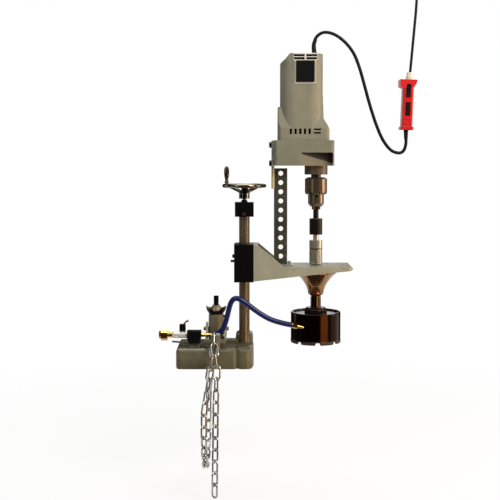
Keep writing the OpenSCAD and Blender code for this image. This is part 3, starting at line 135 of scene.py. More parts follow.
class Sketch:
    """A material's node tree, with short calls to add and join nodes."""

    def __init__(self, name: str) -> None:
        """Starts an empty tree with an output and a principled shader.

        Args:
            name: The material's name.
        """
        self.material = bpy.data.materials.new(name)
        self.material.use_nodes = True
        self.tree = self.material.node_tree
        self.tree.nodes.clear()
        self.output = self.node("ShaderNodeOutputMaterial")
        self.shader = self.node("ShaderNodeBsdfPrincipled")
        self.wire(self.shader.outputs["BSDF"], self.output.inputs["Surface"])
        self.place = self.node("ShaderNodeTexCoord").outputs["Object"]

    def node(self, kind: str, **values: object) -> bpy.types.Node:
        """Adds a node and sets its sockets and properties by name.

        Args:
            kind: The node's type name.
            **values: Socket values (spaces as underscores) or node properties.

        Returns:
            The new node.
        """
        made = self.tree.nodes.new(kind)
        for key, value in values.items():
            socket = made.inputs.get(key.replace("_", " "))
            if socket is None:
                setattr(made, key, value)
            else:
                self.put(socket, value)
        return made

    def put(self, socket: bpy.types.NodeSocket, value: object) -> None:
        """Wires another socket into a socket, or sets a plain value on it.

        Args:
            socket: The socket to fill.
            value: A socket or a plain value.
        """
        if isinstance(value, bpy.types.NodeSocket):
            self.wire(value, socket)
        else:
            socket.default_value = value

    def wire(self, start: bpy.types.NodeSocket, end: bpy.types.NodeSocket) -> None:
        """Joins two sockets."""
        self.tree.links.new(start, end)

    def math(self, operation: str, first: object, second: object = 0.0,
             clamp: bool = False) -> bpy.types.NodeSocket:
        """Adds one sum on sockets or numbers.

        Args:
            operation: Blender's name of the sum.
            first: A socket or a number.
            second: A socket or a number.
            clamp: Whether the result stays between 0 and 1.

        Returns:
            The result's socket.
        """
        made = self.tree.nodes.new("ShaderNodeMath")
        made.operation = operation
        made.use_clamp = clamp
        for socket, value in zip(made.inputs, (first, second)):
            self.put(socket, value)
        return made.outputs[0]

    def noise(self, size_mm: float, detail: float = 3.0,
              stretch: Point = (1, 1, 1)) -> bpy.types.NodeSocket:
        """Adds a cloud pattern.

        Args:
            size_mm: The size of its largest spots.
            detail: How many finer layers it has.
            stretch: How much finer the pattern is along each axis.

        Returns:
            The pattern's value socket.
        """
        spread = self.node("ShaderNodeMapping", Vector=self.place, Scale=stretch)
        cloud = self.node("ShaderNodeTexNoise", Vector=spread.outputs[0], Scale=1000 / size_mm,
                          Detail=detail)
        return cloud.outputs["Fac"]

    def mix(self, share: object, low: object, high: object) -> bpy.types.NodeSocket:
        """Mixes two colours.

        Args:
            share: How much of the second colour shows, a socket or a number.
            low: The first colour or its socket.
            high: The second colour or its socket.

        Returns:
            The mixed colour's socket.
        """
        made = self.tree.nodes.new("ShaderNodeMix")
        made.data_type = "RGBA"
        for number, value in ((0, share), (6, low), (7, high)):
            self.put(made.inputs[number], value)
        return made.outputs[2]

    def ramp(self, value: bpy.types.NodeSocket, low: float, high: float, start: float,
             end: float) -> bpy.types.NodeSocket:
        """Maps a value from one range to another, held at both ends.

        Args:
            value: The socket to map.
            low: The value that gives start.
            high: The value that gives end.
            start: The result at low.
            end: The result at high.

        Returns:
            The mapped value's socket.
        """
        made = self.node("ShaderNodeMapRange", Value=value, From_Min=low, From_Max=high,
                         To_Min=start, To_Max=end)
        return made.outputs[0]

    def span(self, axis: Axis, centre: tuple[float, float]) -> bpy.types.NodeSocket:
        """Gives a place along an axis, or the distance from an upright line, in metres.

        Args:
            axis: What is measured.
            centre: The upright line's X and Y in millimetres.

        Returns:
            The measured value's socket.
        """
        parts = self.node("ShaderNodeSeparateXYZ", Vector=self.place)
        if axis is not Axis.RADIUS:
            return parts.outputs[axis.value]
        dx = self.math("SUBTRACT", parts.outputs[0], centre[0] * MM)
        dy = self.math("SUBTRACT", parts.outputs[1], centre[1] * MM)
        return self.math("SQRT", self.math("ADD", self.math("MULTIPLY", dx, dx),
                                           self.math("MULTIPLY", dy, dy)))

    def turn(self, centre: tuple[float, float]) -> bpy.types.NodeSocket:
        """Gives the angle about an upright line, in radians.

        Args:
            centre: The line's X and Y in millimetres.

        Returns:
            The angle's socket.
        """
        parts = self.node("ShaderNodeSeparateXYZ", Vector=self.place)
        dx = self.math("SUBTRACT", parts.outputs[0], centre[0] * MM)
        dy = self.math("SUBTRACT", parts.outputs[1], centre[1] * MM)
        return self.math("ARCTAN2", dy, dx)


@dataclass(frozen=True)
class Span:
    """A stretch along an axis, in millimetres, whose ends may fall off along X."""

    axis: Axis
    low: float
    high: float
    centre: tuple[float, float] = (0.0, 0.0)
    fall: float = 0.0


@dataclass(frozen=True)
class Zone:
    """A region of a piece that has another tone and polish; some zones are painted shade."""

    spans: tuple[Span, ...]
    tone: Tone
    metallic: float
    roughness: float


@dataclass(frozen=True)
class Finish:
    """One surface finish with its colour drift, relief, polish and edge wear, and painted shade towards the
    bottom.
    """

    name: str
    tone: Tone
    shade: Tone
    grain: Grain
    metallic: float = 0.0
    roughness: float = 0.5
    grain_mm: float = 2.0
    relief: float = 0.2
    blotch_mm: float = 45.0
    edge_mm: float = 0.8
    wear: float = 0.0
    wear_tone: Tone = (188, 184, 176)
    coat: float = 0.0
    gloss: float = 0.5
    axis: Axis = Axis.Z
    centre: tuple[float, float] = (0.0, 0.0)
    pitch_mm: float = 2.0
    count: int = 36
    zones: tuple[Zone, ...] = ()
    # Heights in millimetres over which the colour darkens towards the bottom, as painted shade.
    low_shade: tuple[float, float] | None = None
    low_shade_tone: Tone = (30, 28, 20)

    def relief_height(self, pen: Sketch) -> bpy.types.NodeSocket:
        """Draws the grain as a height.

        Args:
            pen: The material's tree.

        Returns:
            The height's socket.
        """
        if self.grain in (Grain.TURNED, Grain.GROUND, Grain.LAMINATED):
            fine = [1.0, 1.0, 1.0]
            fine[self.axis.value] = 0.02 if self.grain is Grain.GROUND else 60.0
            return pen.noise(self.grain_mm * (1 if self.grain is Grain.GROUND else 40), 2.0,
                             tuple(fine))
        if self.grain is Grain.SPANGLE:
            cells = pen.node("ShaderNodeTexVoronoi", Vector=pen.place, Scale=1000 / self.grain_mm)
            return cells.outputs["Distance"]
        if self.grain is Grain.THREAD:
            along = pen.math("DIVIDE", pen.span(Axis.Z, self.centre), self.pitch_mm * MM)
            about = pen.math("DIVIDE", pen.turn(self.centre), 2 * math.pi)
            return pen.math("PINGPONG", pen.math("SUBTRACT", along, about), 0.5)
        if self.grain is Grain.FLUTED:
            return pen.math("SINE", pen.math("MULTIPLY", pen.turn(self.centre), float(self.count)))
        detail = {Grain.CAST: 5.0, Grain.MOULDED: 2.0, Grain.ENAMEL: 1.0,
                  Grain.RUBBER: 4.0}[self.grain]
        return pen.noise(self.grain_mm, detail)

    def mask(self, pen: Sketch, zone: Zone) -> bpy.types.NodeSocket:
        """Draws where a zone lies.

        Args:
            pen: The material's tree.
            zone: The zone to draw.

        Returns:
            A socket that is 1 inside the zone and 0 outside.
        """
        inside: object = 1.0
        for part in zone.spans:
            value = pen.span(part.axis, part.centre)
            if part.fall:
                drop = pen.math("MULTIPLY", pen.span(Axis.X, part.centre), part.fall)
                value = pen.math("ADD", value, drop)
            above = pen.math("GREATER_THAN", value, part.low * MM)
            below = pen.math("LESS_THAN", value, part.high * MM)
            inside = pen.math("MULTIPLY", inside, pen.math("MULTIPLY", above, below))
        return inside

    def material(self) -> bpy.types.Material:
        """Builds the finish.

        Returns:
            The finished material.
        """
        pen = Sketch(self.name)
        blotch = pen.noise(self.blotch_mm, 4.0)
        speck = pen.noise(self.blotch_mm / SPECK_FINER, 3.0)
        colour = pen.mix(pen.ramp(blotch, *BLOTCH_EDGES, 0.0, 1.0), linear(self.tone),
                         linear(self.shade))
        darker = linear(tuple(SPECK_DARK * v for v in self.shade))
        calm = METAL_CALM if self.metallic > BARE_METAL else 1.0
        colour = pen.mix(pen.ramp(speck, *SPECK_EDGES, 0.0, SPECK_SHARE * calm), colour, darker)
        height = self.relief_height(pen)
        if self.grain is Grain.SPANGLE:
            cells = pen.node("ShaderNodeTexVoronoi", Vector=pen.place, Scale=1000 / self.grain_mm)
            grey = pen.node("ShaderNodeSeparateColor", Color=cells.outputs["Color"]).outputs[0]
            colour = pen.mix(pen.ramp(grey, 0.0, 1.0, 0.0, SPANGLE_SHARE), colour, darker)
        flat = pen.node("ShaderNodeNewGeometry").outputs["Normal"]
        soft = flat
        if self.wear or self.metallic < BARE_METAL:
            soft = pen.node("ShaderNodeBevel", samples=8, Radius=self.edge_mm * MM).outputs[0]
        if self.wear:
            meet = pen.node("ShaderNodeVectorMath", operation="DOT_PRODUCT")
            pen.wire(flat, meet.inputs[0])
            pen.wire(soft, meet.inputs[1])
            edge = pen.ramp(meet.outputs["Value"], *EDGE_MEET, 0.0, 1.0)
            patchy = pen.math("MULTIPLY", edge, pen.ramp(speck, *WEAR_EDGES, 0.0, 1.0))
            worn = pen.math("MULTIPLY", patchy, self.wear)
            colour = pen.mix(worn, colour, linear(self.wear_tone))
        # Painted shade: the colour darkens in patches towards the bottom, where the contact shadow falls.
        if self.low_shade:
            low, high = (v * MM for v in self.low_shade)
            depth = pen.ramp(pen.span(Axis.Z, self.centre), low, high, LOW_SHADE_SHARE, 0.0)
            painted_shade = pen.math("MULTIPLY", depth, pen.ramp(blotch, *LOW_SHADE_EDGES, LOW_SHADE_LEAST, 1.0))
            colour = pen.mix(painted_shade, colour, linear(self.low_shade_tone))
        smooth = max(POLISH_LEAST, self.roughness - POLISH_DRIFT[0] * calm)
        rough = self.roughness + POLISH_DRIFT[1] * calm
        polish = pen.ramp(speck, *POLISH_EDGES, smooth, rough)
        metal: object = self.metallic
        for zone in self.zones:
            here = self.mask(pen, zone)
            colour = pen.mix(here, colour, linear(zone.tone))
            gap = zone.metallic - self.metallic
            metal = pen.math("ADD", pen.math("MULTIPLY", here, gap), metal)
            away = pen.math("SUBTRACT", 1.0, here)
            polish = pen.math("ADD", pen.math("MULTIPLY", polish, away),
                              pen.math("MULTIPLY", here, zone.roughness))
        bump = pen.node("ShaderNodeBump", Strength=self.relief,
                        Distance=BUMP_DEPTH * self.grain_mm * MM, Height=height, Normal=soft)
        sockets = {"Base Color": colour, "Roughness": polish, "Normal": bump.outputs[0],
                   "Metallic": metal, "Specular IOR Level": self.gloss,
                   "Coat Weight": self.coat, "Coat Roughness": COAT_ROUGHNESS}
        for name, value in sockets.items():
            pen.put(pen.shader.inputs[name], value)
        return pen.material


def dress(finish: Finish, *nodes: str) -> None:
    """Puts one finish on CAD nodes.

    Args:
        finish: The finish to put on.
        *nodes: The nodes' names.
    """
    material = finish.material()
    for name in nodes:
        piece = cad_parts[name]
        if not piece.material_slots:
            piece.data.materials.append(material)
        for slot in piece.material_slots:
            slot.material = material
        LOG.info("dressed %s in %s", name, finish.name)


def smooth_route(points: list[Vector], steps: int) -> list[Vector]:
    """Runs a smooth line through route points.

    Args:
        points: The route points.
        steps: How many places the line has from one point to the next.

    Returns:
        The places along the line.
    """
    line: list[Vector] = []
    for i in range(len(points) - 1):
        a, b = points[max(i - 1, 0)], points[i]
        c, d = points[i + 1], points[min(i + 2, len(points) - 1)]
        square = 2 * a - 5 * b + 4 * c - d
        cube = 3 * b - a - 3 * c + d
        for k in range(steps):
            t = k / steps
            line.append(0.5 * (2 * b + (c - a) * t + square * t * t + cube * t ** 3))
    return line + [points[-1]]


def line_length(line: list[Vector]) -> float:
    """Adds up the length of a line.

    Args:
        line: The places along it.

    Returns:
        Its length.
    """
    return sum((b - a).length for a, b in zip(line, line[1:]))


def mesh_piece(name: str, points: list[Vector], faces: list[tuple[int, ...]]) -> bpy.types.Object:
    """Makes a smooth-shaded mesh piece.

    Args:
        name: The piece's name.
        points: Its corners in metres.
        faces: Its faces as corner numbers.

    Returns:
        The new object, linked to the scene.
    """
    mesh = bpy.data.meshes.new(name)
    mesh.from_pydata([tuple(p) for p in points], [], faces)
    mesh.shade_smooth()
    mesh.update()
    piece = bpy.data.objects.new(name, mesh)
    bpy.context.scene.collection.objects.link(piece)
    return piece


def tube(name: str, line: list[Vector], radii: list[float], sides: int = 20) -> bpy.types.Object:
    """Sweeps a closed tube along a line.

    Args:
        name: The piece's name.
        line: The places along its middle.
        radii: Its radius at each place.
        sides: How many sides it has round.

    Returns:
        The tube.
    """
    points: list[Vector] = []
    faces: list[tuple[int, ...]] = []
    up = Vector((0, 1, 0))
    for i, place in enumerate(line):
        ahead = (line[min(i + 1, len(line) - 1)] - line[max(i - 1, 0)]).normalized()
        side = ahead.cross(up).normalized()
        up = side.cross(ahead).normalized()
        for k in range(sides):
            a = 2 * math.pi * k / sides
            points.append(place + radii[i] * (math.cos(a) * side + math.sin(a) * up))
    for i in range(len(line) - 1):
        for k in range(sides):
            n = (k + 1) % sides
            faces.append((i * sides + k, i * sides + n, (i + 1) * sides + n, (i + 1) * sides + k))
    last = (len(line) - 1) * sides
    faces.append(tuple(reversed(range(sides))))
    faces.append(tuple(range(last, last + sides)))
    return mesh_piece(name, points, faces)


def ribbed_boot(name: str, line: list[Vector], wide: float, narrow: float,
                ribs: int) -> bpy.types.Object:
    """Makes a tapered strain relief with ribs along a lead's first stretch.

    Args:
        name: The piece's name.
        line: The stretch that it covers.
        wide: Its radius at the housing.
        narrow: Its radius at the free end.
        ribs: How many ribs it has.

    Returns:
        The boot.
    """
    groove_share = 0.10
    fine = smooth_route(line, 3)
    radii: list[float] = []
    for i in range(len(fine)):
        t = i / (len(fine) - 1)
        groove = groove_share * wide * (0.5 - 0.5 * math.cos(2 * math.pi * ribs * t))
        radii.append(wide + (narrow - wide) * t - groove * (1 - t))
    return tube(name, fine, radii, 24)


def thread_coil(name: str, centre: tuple[float, float], low: float, high: float, radius: float,
                pitch: float) -> bpy.types.Object:
    """Makes a screw thread's ridge as a coil about an upright line.

    Args:
        name: The piece's name.
        centre: The line's X and Y in millimetres.
        low: The height where the thread starts, in millimetres.
        high: The height where it ends, in millimetres.
        radius: The plain rod's radius in millimetres.
        pitch: The rise of one turn in millimetres.

    Returns:
        The ridge.
    """
    steps = 28
    root, crest, flank = radius - 0.25, radius + 0.32, 0.42 * pitch
    total = int((high - low) / pitch * steps)
    points: list[Vector] = []
    faces: list[tuple[int, ...]] = []
    for i in range(total + 1):
        a = 2 * math.pi * i / steps
        z = low + pitch * i / steps
        for r, dz in ((root, -flank), (crest, 0.0), (root, flank)):
            x, y = centre[0] + r * math.cos(a), centre[1] + r * math.sin(a)
            points.append(Vector((x, y, z + dz)) * MM)
    for i in range(total):
        for k in (0, 1):
            faces.append((3 * i + k, 3 * i + 3 + k, 3 * i + 4 + k, 3 * i + 1 + k))
        faces.append((3 * i + 2, 3 * i + 5, 3 * i + 3, 3 * i))
    faces.append((2, 1, 0))
    faces.append((3 * total, 3 * total + 1, 3 * total + 2))
    return mesh_piece(name, points, faces)


@dataclass(frozen=True)
class Lamp:
    """One soft square lamp, in metres and watts."""

    name: str
    place: Point
    aim: Point
    width: float
    watts: float
    tone: Tone


LAMPS = (
    Lamp("key_softbox", (1.5, -1.7, 1.9), (0.2, 0.0, 0.35), 1.0, 46.0, (255, 250, 242)),
    Lamp("left_fill", (-1.7, -1.7, 0.9), (0.1, 0.0, 0.3), 1.2, 8.0, (250, 252, 255)),
    Lamp("top_softbox", (0.2, 0.5, 2.3), (0.15, 0.0, 0.3), 1.3, 26.0, (255, 253, 250)),
    Lamp("right_warm", (1.7, -0.25, 0.5), (0.2, 0.0, 0.3), 0.7, 10.0, (255, 212, 160)),
    Lamp("low_glow", (0.9, -0.9, -0.25), (0.2, 0.0, 0.15), 0.7, 5.0, (255, 190, 120)),
)

DARK_CARDS = {
    "front_card": ((2.8, -3.3), (-3.4, -3.3)),
    "left_card": ((-1.9, -2.0), (-1.3, 0.45)),
    "back_left_card": ((-1.0, 0.75), (0.05, 1.8)),
    "back_right_card": ((0.45, 1.8), (1.5, 1.0)),
    "right_card": ((2.0, -0.7), (2.5, -2.2)),
}


@dataclass(frozen=True)
class Studio:
    """White surroundings, soft lamps, cards and the camera, in metres."""

    eye: Point = (0.0816, -2.304, 0.461)
    tilt_deg: float = 2.53
    shift: float = -0.085
    lens: float = 69.1
    floor_z: float = -0.312
    floor_half: float = 6.0
    card_low: float = -0.3
    card_high: float = 1.9
    card_gap: float = 0.006
    card_dark: Tone = (20, 19, 18)
    card_brown: Tone = (78, 52, 30)
    world_level: float = 0.26

    def build(self) -> None:
        """Makes the camera, world, floor, cards and lamps."""
        self.camera()
        self.world()
        self.floor()
        for name, (start, end) in DARK_CARDS.items():
            self.card(name, self.upright(start, end), self.card_dark)
        low = self.floor_z + self.card_gap
        self.card("floor_card", [(-1.9, -0.3, low), (-3.0, -3.3, low), (2.6, -3.3, low),
                                 (1.8, -0.3, low)], self.card_brown)
        for lamp in LAMPS:
            self.lamp(lamp)
        bpy.context.scene.view_settings.view_transform = "Standard"

    def camera(self) -> None:
        """Makes the camera at the picture's viewpoint."""
        data = bpy.data.cameras.new("camera")
        data.lens = self.lens
        data.sensor_width = 36
        data.shift_y = self.shift
        data.clip_end = 30
        seen = bpy.data.objects.new("camera", data)
        seen.location = self.eye
        seen.rotation_euler = (math.radians(90 - self.tilt_deg), 0, 0)
        bpy.context.scene.collection.objects.link(seen)
        bpy.context.scene.camera = seen

    def white_to_camera(self, pen: Sketch, strength: bpy.types.NodeSocket) -> bpy.types.NodeSocket:
        """Draws which rays see a plain white.

        Args:
            pen: The tree to draw in.
            strength: How much of the white shows.

        Returns:
            The share's socket.
        """
        path = pen.node("ShaderNodeLightPath")
        seen = pen.math("MAXIMUM", path.outputs["Is Camera Ray"], path.outputs["Is Glossy Ray"])
        seen = pen.math("MAXIMUM", seen, path.outputs["Is Transmission Ray"])
        return pen.math("MULTIPLY", seen, strength)

    def world(self) -> None:
        """Makes a white world that lights the object at a plain level."""
        world = bpy.data.worlds.new("studio_world")
        bpy.context.scene.world = world
        world.use_nodes = True
        tree = world.node_tree
        tree.nodes.clear()
        output = tree.nodes.new("ShaderNodeOutputWorld")
        light = tree.nodes.new("ShaderNodeBackground")
        light.inputs["Color"].default_value = (1, 1, 1, 1)
        path = tree.nodes.new("ShaderNodeLightPath")
        level = tree.nodes.new("ShaderNodeMapRange")
        level.inputs["To Min"].default_value = self.world_level
        level.inputs["To Max"].default_value = 1.0
        seen = path.outputs["Is Camera Ray"]
        for kind in ("Is Glossy Ray", "Is Transmission Ray"):
            both = tree.nodes.new("ShaderNodeMath")
            both.operation = "MAXIMUM"
            tree.links.new(seen, both.inputs[0])
            tree.links.new(path.outputs[kind], both.inputs[1])
            seen = both.outputs[0]
        tree.links.new(seen, level.inputs["Value"])
        tree.links.new(level.outputs[0], light.inputs["Strength"])
        tree.links.new(light.outputs[0], output.inputs["Surface"])

    def floor(self) -> None:
        """Makes the pale floor, which keeps the object's shadow."""
        half = self.floor_half
        corners = ((-half, -half), (half, -half), (half, half), (-half, half))
        piece = mesh_piece("studio_floor", [Vector((x, y, self.floor_z)) for x, y in corners],
                           [(0, 1, 2, 3)])
        pen = Sketch("studio_floor")
        pen.shader.inputs["Base Color"].default_value = (0.86, 0.86, 0.86, 1)
        pen.shader.inputs["Roughness"].default_value = 0.9
        glow = pen.node("ShaderNodeEmission", Strength=1.0)
        both = pen.node("ShaderNodeMixShader")
        far = pen.ramp(pen.span(Axis.RADIUS, (150.0, 0.0)), 0.4, 1.6, 0.86, 1.0)
        pen.wire(self.white_to_camera(pen, far), both.inputs[0])
        pen.wire(pen.shader.outputs[0], both.inputs[1])
        pen.wire(glow.outputs[0], both.inputs[2])
        pen.wire(both.outputs[0], pen.output.inputs["Surface"])
        piece.data.materials.append(pen.material)

    def upright(self, start: tuple[float, float], end: tuple[float, float]) -> list[Point]:
        """Gives the corners of an upright card.

        Args:
            start: X and Y of its first upright edge, in metres.
            end: X and Y of its other upright edge.

        Returns:
            Its four corners.
        """
        low, high = self.card_low, self.card_high
        return [(*start, low), (*end, low), (*end, high), (*start, high)]

    def card(self, name: str, corners: list[Point], tone: Tone) -> None:
        """Hangs a dark card that only shows as a soft dark band in polished metal.

        Args:
            name: The card's name.
            corners: Its four corners in metres.
            tone: Its colour.
        """
        piece = mesh_piece(name, [Vector(c) for c in corners], [(0, 1, 2, 3)])
        piece.data.materials.append(Finish(name, tone, tone, Grain.RUBBER, roughness=0.9,
                                           gloss=0.1).material())
        for sight in ("visible_camera", "visible_diffuse", "visible_shadow"):
            setattr(piece, sight, False)

    def lamp(self, lamp: Lamp) -> None:
        """Makes one soft lamp.

        Args:
            lamp: What it is and where it stands.
        """
        data = bpy.data.lights.new(lamp.name, "AREA")
        data.size = lamp.width
        data.energy = lamp.watts
        data.color = linear(lamp.tone)[:3]
        made = bpy.data.objects.new(lamp.name, data)
        made.location = lamp.place
        facing = Vector(lamp.aim) - Vector(lamp.place)
        made.rotation_euler = facing.to_track_quat("-Z", "Y").to_euler()
        bpy.context.scene.collection.objects.link(made)


@dataclass
class Leads:
    """The motor cord, the supply cord and the water hose, with their boots."""

    motor_d: float = 7.8 * MM
    supply_d: float = 6.4 * MM
    hose_d: float = 12.5 * MM
    boot_end: float = 4.4 * MM
    motor_route: list[Point] = field(default_factory=lambda: [
        (235, 0, 728.5), (234, 0, 748), (240, 0, 766), (257, 0, 777), (281, 0, 773),
        (306, 0, 756), (328, 0, 729), (343, 0, 693), (356, 0, 648), (369, 0, 602),
        (384, 0, 557), (400, 0, 521), (419, 0, 497), (438, 0, 490), (450, 0, 496),
        (455, 0, 512), (455, 0, 530), (455, 0, 545)])
    supply_route: list[Point] = field(default_factory=lambda: [
        (464, 0, 682), (467, 0, 715), (470.5, 0, 755), (474, 0, 795), (477, 0, 830), (479, 0, 868)])
    hose_route: list[Point] = field(default_factory=lambda: [
        (-8, -32, 57), (6, -36, 62), (17, -42, 73), (24, -47, 90), (29, -52, 109),
        (33, -57, 126), (38, -61, 140), (46, -64, 148), (57, -66, 147), (73, -66, 137),
        (98, -66, 118), (126, -66, 101), (152, -66, 92), (179, -66, 86)])

    def build(self) -> None:
        """Makes the three leads and says what each one is."""
        jacket = Finish("cord_jacket", (8, 8, 8), (14, 13, 13), Grain.RUBBER, gloss=0.2,
                        roughness=0.45, grain_mm=0.8, relief=0.15)
        hose = Finish("hose_blue", (8, 34, 102), (5, 18, 60), Grain.RUBBER, gloss=0.3,
                      roughness=0.34, grain_mm=1.5, relief=0.12, coat=0.15)
        line = smooth_route(metres(self.motor_route), 4)
        cord = self.lead("motor_cord_jacket", line, self.motor_d, jacket, "motor_cord")
        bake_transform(cord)
        line = smooth_route(metres(self.supply_route), 6)
        cord = self.lead("supply_cord_jacket", line, self.supply_d, jacket, "supply_cord")
        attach(cord, "stand")
        line = smooth_route(metres(self.hose_route), 5)
        cord = self.lead("water_hose_wall", line, self.hose_d, hose, "water_hose")
        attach(cord, "stand")
        self.boots(jacket)

    def lead(self, name: str, line: list[Vector], diameter: float, finish: Finish, node: str) -> bpy.types.Object:
        """Makes one lead in place of its CAD solid.

        Args:
            name: The piece's name.
            line: The places along its middle.
            diameter: Its diameter.
            finish: Its finish.
            node: The CAD node that it stands for.

        Returns:
            The lead.
        """
        piece = tube(name, line, [diameter / 2] * len(line))
        piece.data.materials.append(finish.material())
        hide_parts(node)
        LOG.info("made %s, %.3f m long", name, line_length(line))
        return piece

    def boots(self, jacket: Finish) -> None:
        """Makes the strain reliefs at the drill and at the safety switch.

        Args:
            jacket: The cords' finish.
        """
        start = smooth_route(metres(self.motor_route[:3]), 8)[:14]
        end = list(reversed(smooth_route(metres(self.motor_route[-3:]), 8)))[:12]
        for name, line, wide, ribs, body in (
                ("motor_cord_boot", start, 6.2 * MM, 5, "arm"),
                ("safety_switch_boot", end, 6.0 * MM, 4, "stand")):
            boot = ribbed_boot(name, line, wide, self.boot_end, ribs)
            boot.data.materials.append(jacket.material())
            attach(boot, body)
            LOG.info("made %s", name)


class Stand:
    """The saddle, its screws and the water line's strap."""

    def build(self) -> None:
        """Dresses the stand's pieces."""
        tower = Zone((Span(Axis.RADIUS, 0, 19.2), Span(Axis.Z, 41, 104)), (116, 112, 86), 0.1, 0.36)
        # Painted shade: the saddle's colour darkens towards its bottom edge.
        dress(Finish("saddle_enamel", (104, 101, 77), (88, 85, 64), Grain.CAST, roughness=0.3,
                     low_shade=(-34, 12), grain_mm=5.0, relief=0.25, edge_mm=1.6, wear=0.6,
                     wear_tone=(160, 154, 128), coat=0.1, zones=(tower,)), "saddle_base")
        plated = Zone((Span(Axis.X, 150, 215), Span(Axis.Z, 215, 250)), (172, 168, 156), 0.7, 0.35)
        dress(Finish("black_oxide", (16, 15, 15), (26, 25, 24), Grain.TURNED, metallic=0.7,
                     roughness=0.42, grain_mm=0.4, relief=FINE_RELIEF, blotch_mm=WIDE_BLOTCH_MM,
                     wear=0.5, zones=(plated,)), "key_screws", "arm_screws", "slide_lock_screw")
        dress(Finish("strap_zinc", (176, 174, 166), (150, 148, 140), Grain.GROUND, metallic=0.9,
                     roughness=0.32, grain_mm=0.5, relief=0.1, axis=Axis.X), "water_clip")


@dataclass
class Tensioner:
    """The stud, yoke, wing nut and chain."""

    stud_r: float = 6.0
    thread_low: float = 136.6
    thread_high: float = 144.5
    thread_pitch: float = 1.75

    def build(self) -> None:
        """Makes the stud's thread and dresses the tensioner."""
        black = Finish("stud_black", (8, 8, 8), (15, 14, 14), Grain.THREAD, gloss=0.2, metallic=0.6,
                       roughness=0.4, grain_mm=1.2, relief=0.3, pitch_mm=self.thread_pitch)
        coil = thread_coil("tension_stud_thread", (0, 0), self.thread_low, self.thread_high,
                           self.stud_r, self.thread_pitch)
        coil.data.materials.append(black.material())
        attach(coil, "tensioner")
        LOG.info("made %s", coil.name)
        dress(black, "tension_stud")
        dress(Finish("yoke_zinc", (160, 155, 132), (132, 127, 106), Grain.CAST, metallic=0.55,
                     roughness=0.38, grain_mm=3.0, relief=0.12, wear=0.4,
                     wear_tone=(220, 216, 204)), "tension_yoke")
        hub = Zone((Span(Axis.RADIUS, 0, 15.6), Span(Axis.Z, 110.9, 125)), (152, 140, 110), 0.75,
                   0.3)
        dress(Finish("wing_black", (7, 7, 7), (13, 12, 12), Grain.CAST, gloss=0.2, roughness=0.36,
                     grain_mm=2.0, relief=0.2, wear=0.4, wear_tone=(96, 88, 76), zones=(hub,)),
              "wing_nut")
        dress(Finish("chain_zinc", (186, 184, 178), (142, 140, 134), Grain.ENAMEL, metallic=1.0,
                     roughness=0.12, grain_mm=2.5, relief=0.12, blotch_mm=18), "chain_wrap",
              "chain_tail_upper", "chain_tail_lower")


@dataclass
class Feed:
    """The column, the feed screw, the handwheel and the top block."""

    centre: tuple[float, float] = (68.0, 0.0)

    def build(self) -> None:
        """Dresses the feed's pieces."""
        dress(Finish("column_chrome", (126, 112, 90), (106, 94, 75), Grain.GROUND, metallic=0.6,
                     roughness=0.28, grain_mm=0.8, relief=FINE_RELIEF, blotch_mm=WIDE_BLOTCH_MM),
              "column")
        dress(Finish("feed_screw_steel", (150, 146, 140), (120, 116, 110), Grain.THREAD,
                     metallic=1.0, roughness=0.34, grain_mm=3.0, relief=0.9, centre=self.centre,
                     pitch_mm=4.0), "feed_screw")
        dress(Finish("wheel_chrome", (134, 127, 112), (100, 94, 82), Grain.ENAMEL, metallic=1.0,
                     roughness=0.1, grain_mm=6.0, relief=0.1, blotch_mm=30),
              "handwheel", "crank_handle")
        dress(Finish("block_black", (5, 5, 5), (9, 9, 9), Grain.ENAMEL, gloss=0.1, roughness=0.42,
                     grain_mm=1.6, relief=0.2, wear=0.3, wear_tone=(72, 68, 62)), "top_block",
              "slide_cap")
        dress(Finish("race_steel", (168, 168, 170), (140, 140, 142), Grain.TURNED, metallic=1.0,
                     roughness=0.22, grain_mm=0.4, relief=FINE_RELIEF, blotch_mm=WIDE_BLOTCH_MM),
              "thrust_bearing", "ball_bearings")
        dress(Finish("bush_bronze", (164, 124, 70), (130, 94, 50), Grain.TURNED, metallic=1.0,
                     roughness=0.33, grain_mm=0.4, relief=FINE_RELIEF, blotch_mm=WIDE_BLOTCH_MM),
              "feed_nut", "slide_bushes")


class Arm:
    """The arm casting, the bearing housing and the drill's bracket."""

    def build(self) -> None:
        """Dresses the arm's pieces."""
        dress(Finish("arm_enamel", (150, 149, 130), (137, 136, 118), Grain.CAST, gloss=0.4,
                     roughness=0.4, grain_mm=3.5, relief=0.16, edge_mm=1.5, wear=0.35,
                     wear_tone=(196, 192, 174)), "arm_casting")
        # Painted shade and painted reflection: the bearing housing, grey like the arm, is drawn as dark
        # copper-toned metal for its shadow under the arm and the warm reflection on it.
        dress(Finish("housing_dark", (150, 110, 74), (124, 90, 60), Grain.TURNED, metallic=0.88,
                     roughness=0.14, grain_mm=0.6, relief=FINE_RELIEF, blotch_mm=WIDE_BLOTCH_MM),
              "bearing_housing")
        dress(Finish("angle_zinc", (100, 100, 89), (84, 84, 74), Grain.SPANGLE, metallic=0.75,
                     roughness=0.44, grain_mm=7.0, relief=0.08, wear=0.4), "bracket_angle")
        dress(Finish("foot_zinc", (206, 204, 194), (180, 178, 168), Grain.SPANGLE, metallic=0.6,
                     roughness=0.36, grain_mm=6.0, relief=0.06, wear=0.4), "bracket_foot")
        rub = Zone((Span(Axis.Z, 404, 452), Span(Axis.X, 136, 140)), (232, 214, 150), 0.4, 0.4)
        dress(Finish("plate_zinc", (206, 202, 186), (184, 178, 158), Grain.SPANGLE, metallic=0.5,
                     roughness=0.4, grain_mm=6.0, relief=0.06, wear=0.4, zones=(rub,)),
              "bracket_plate")


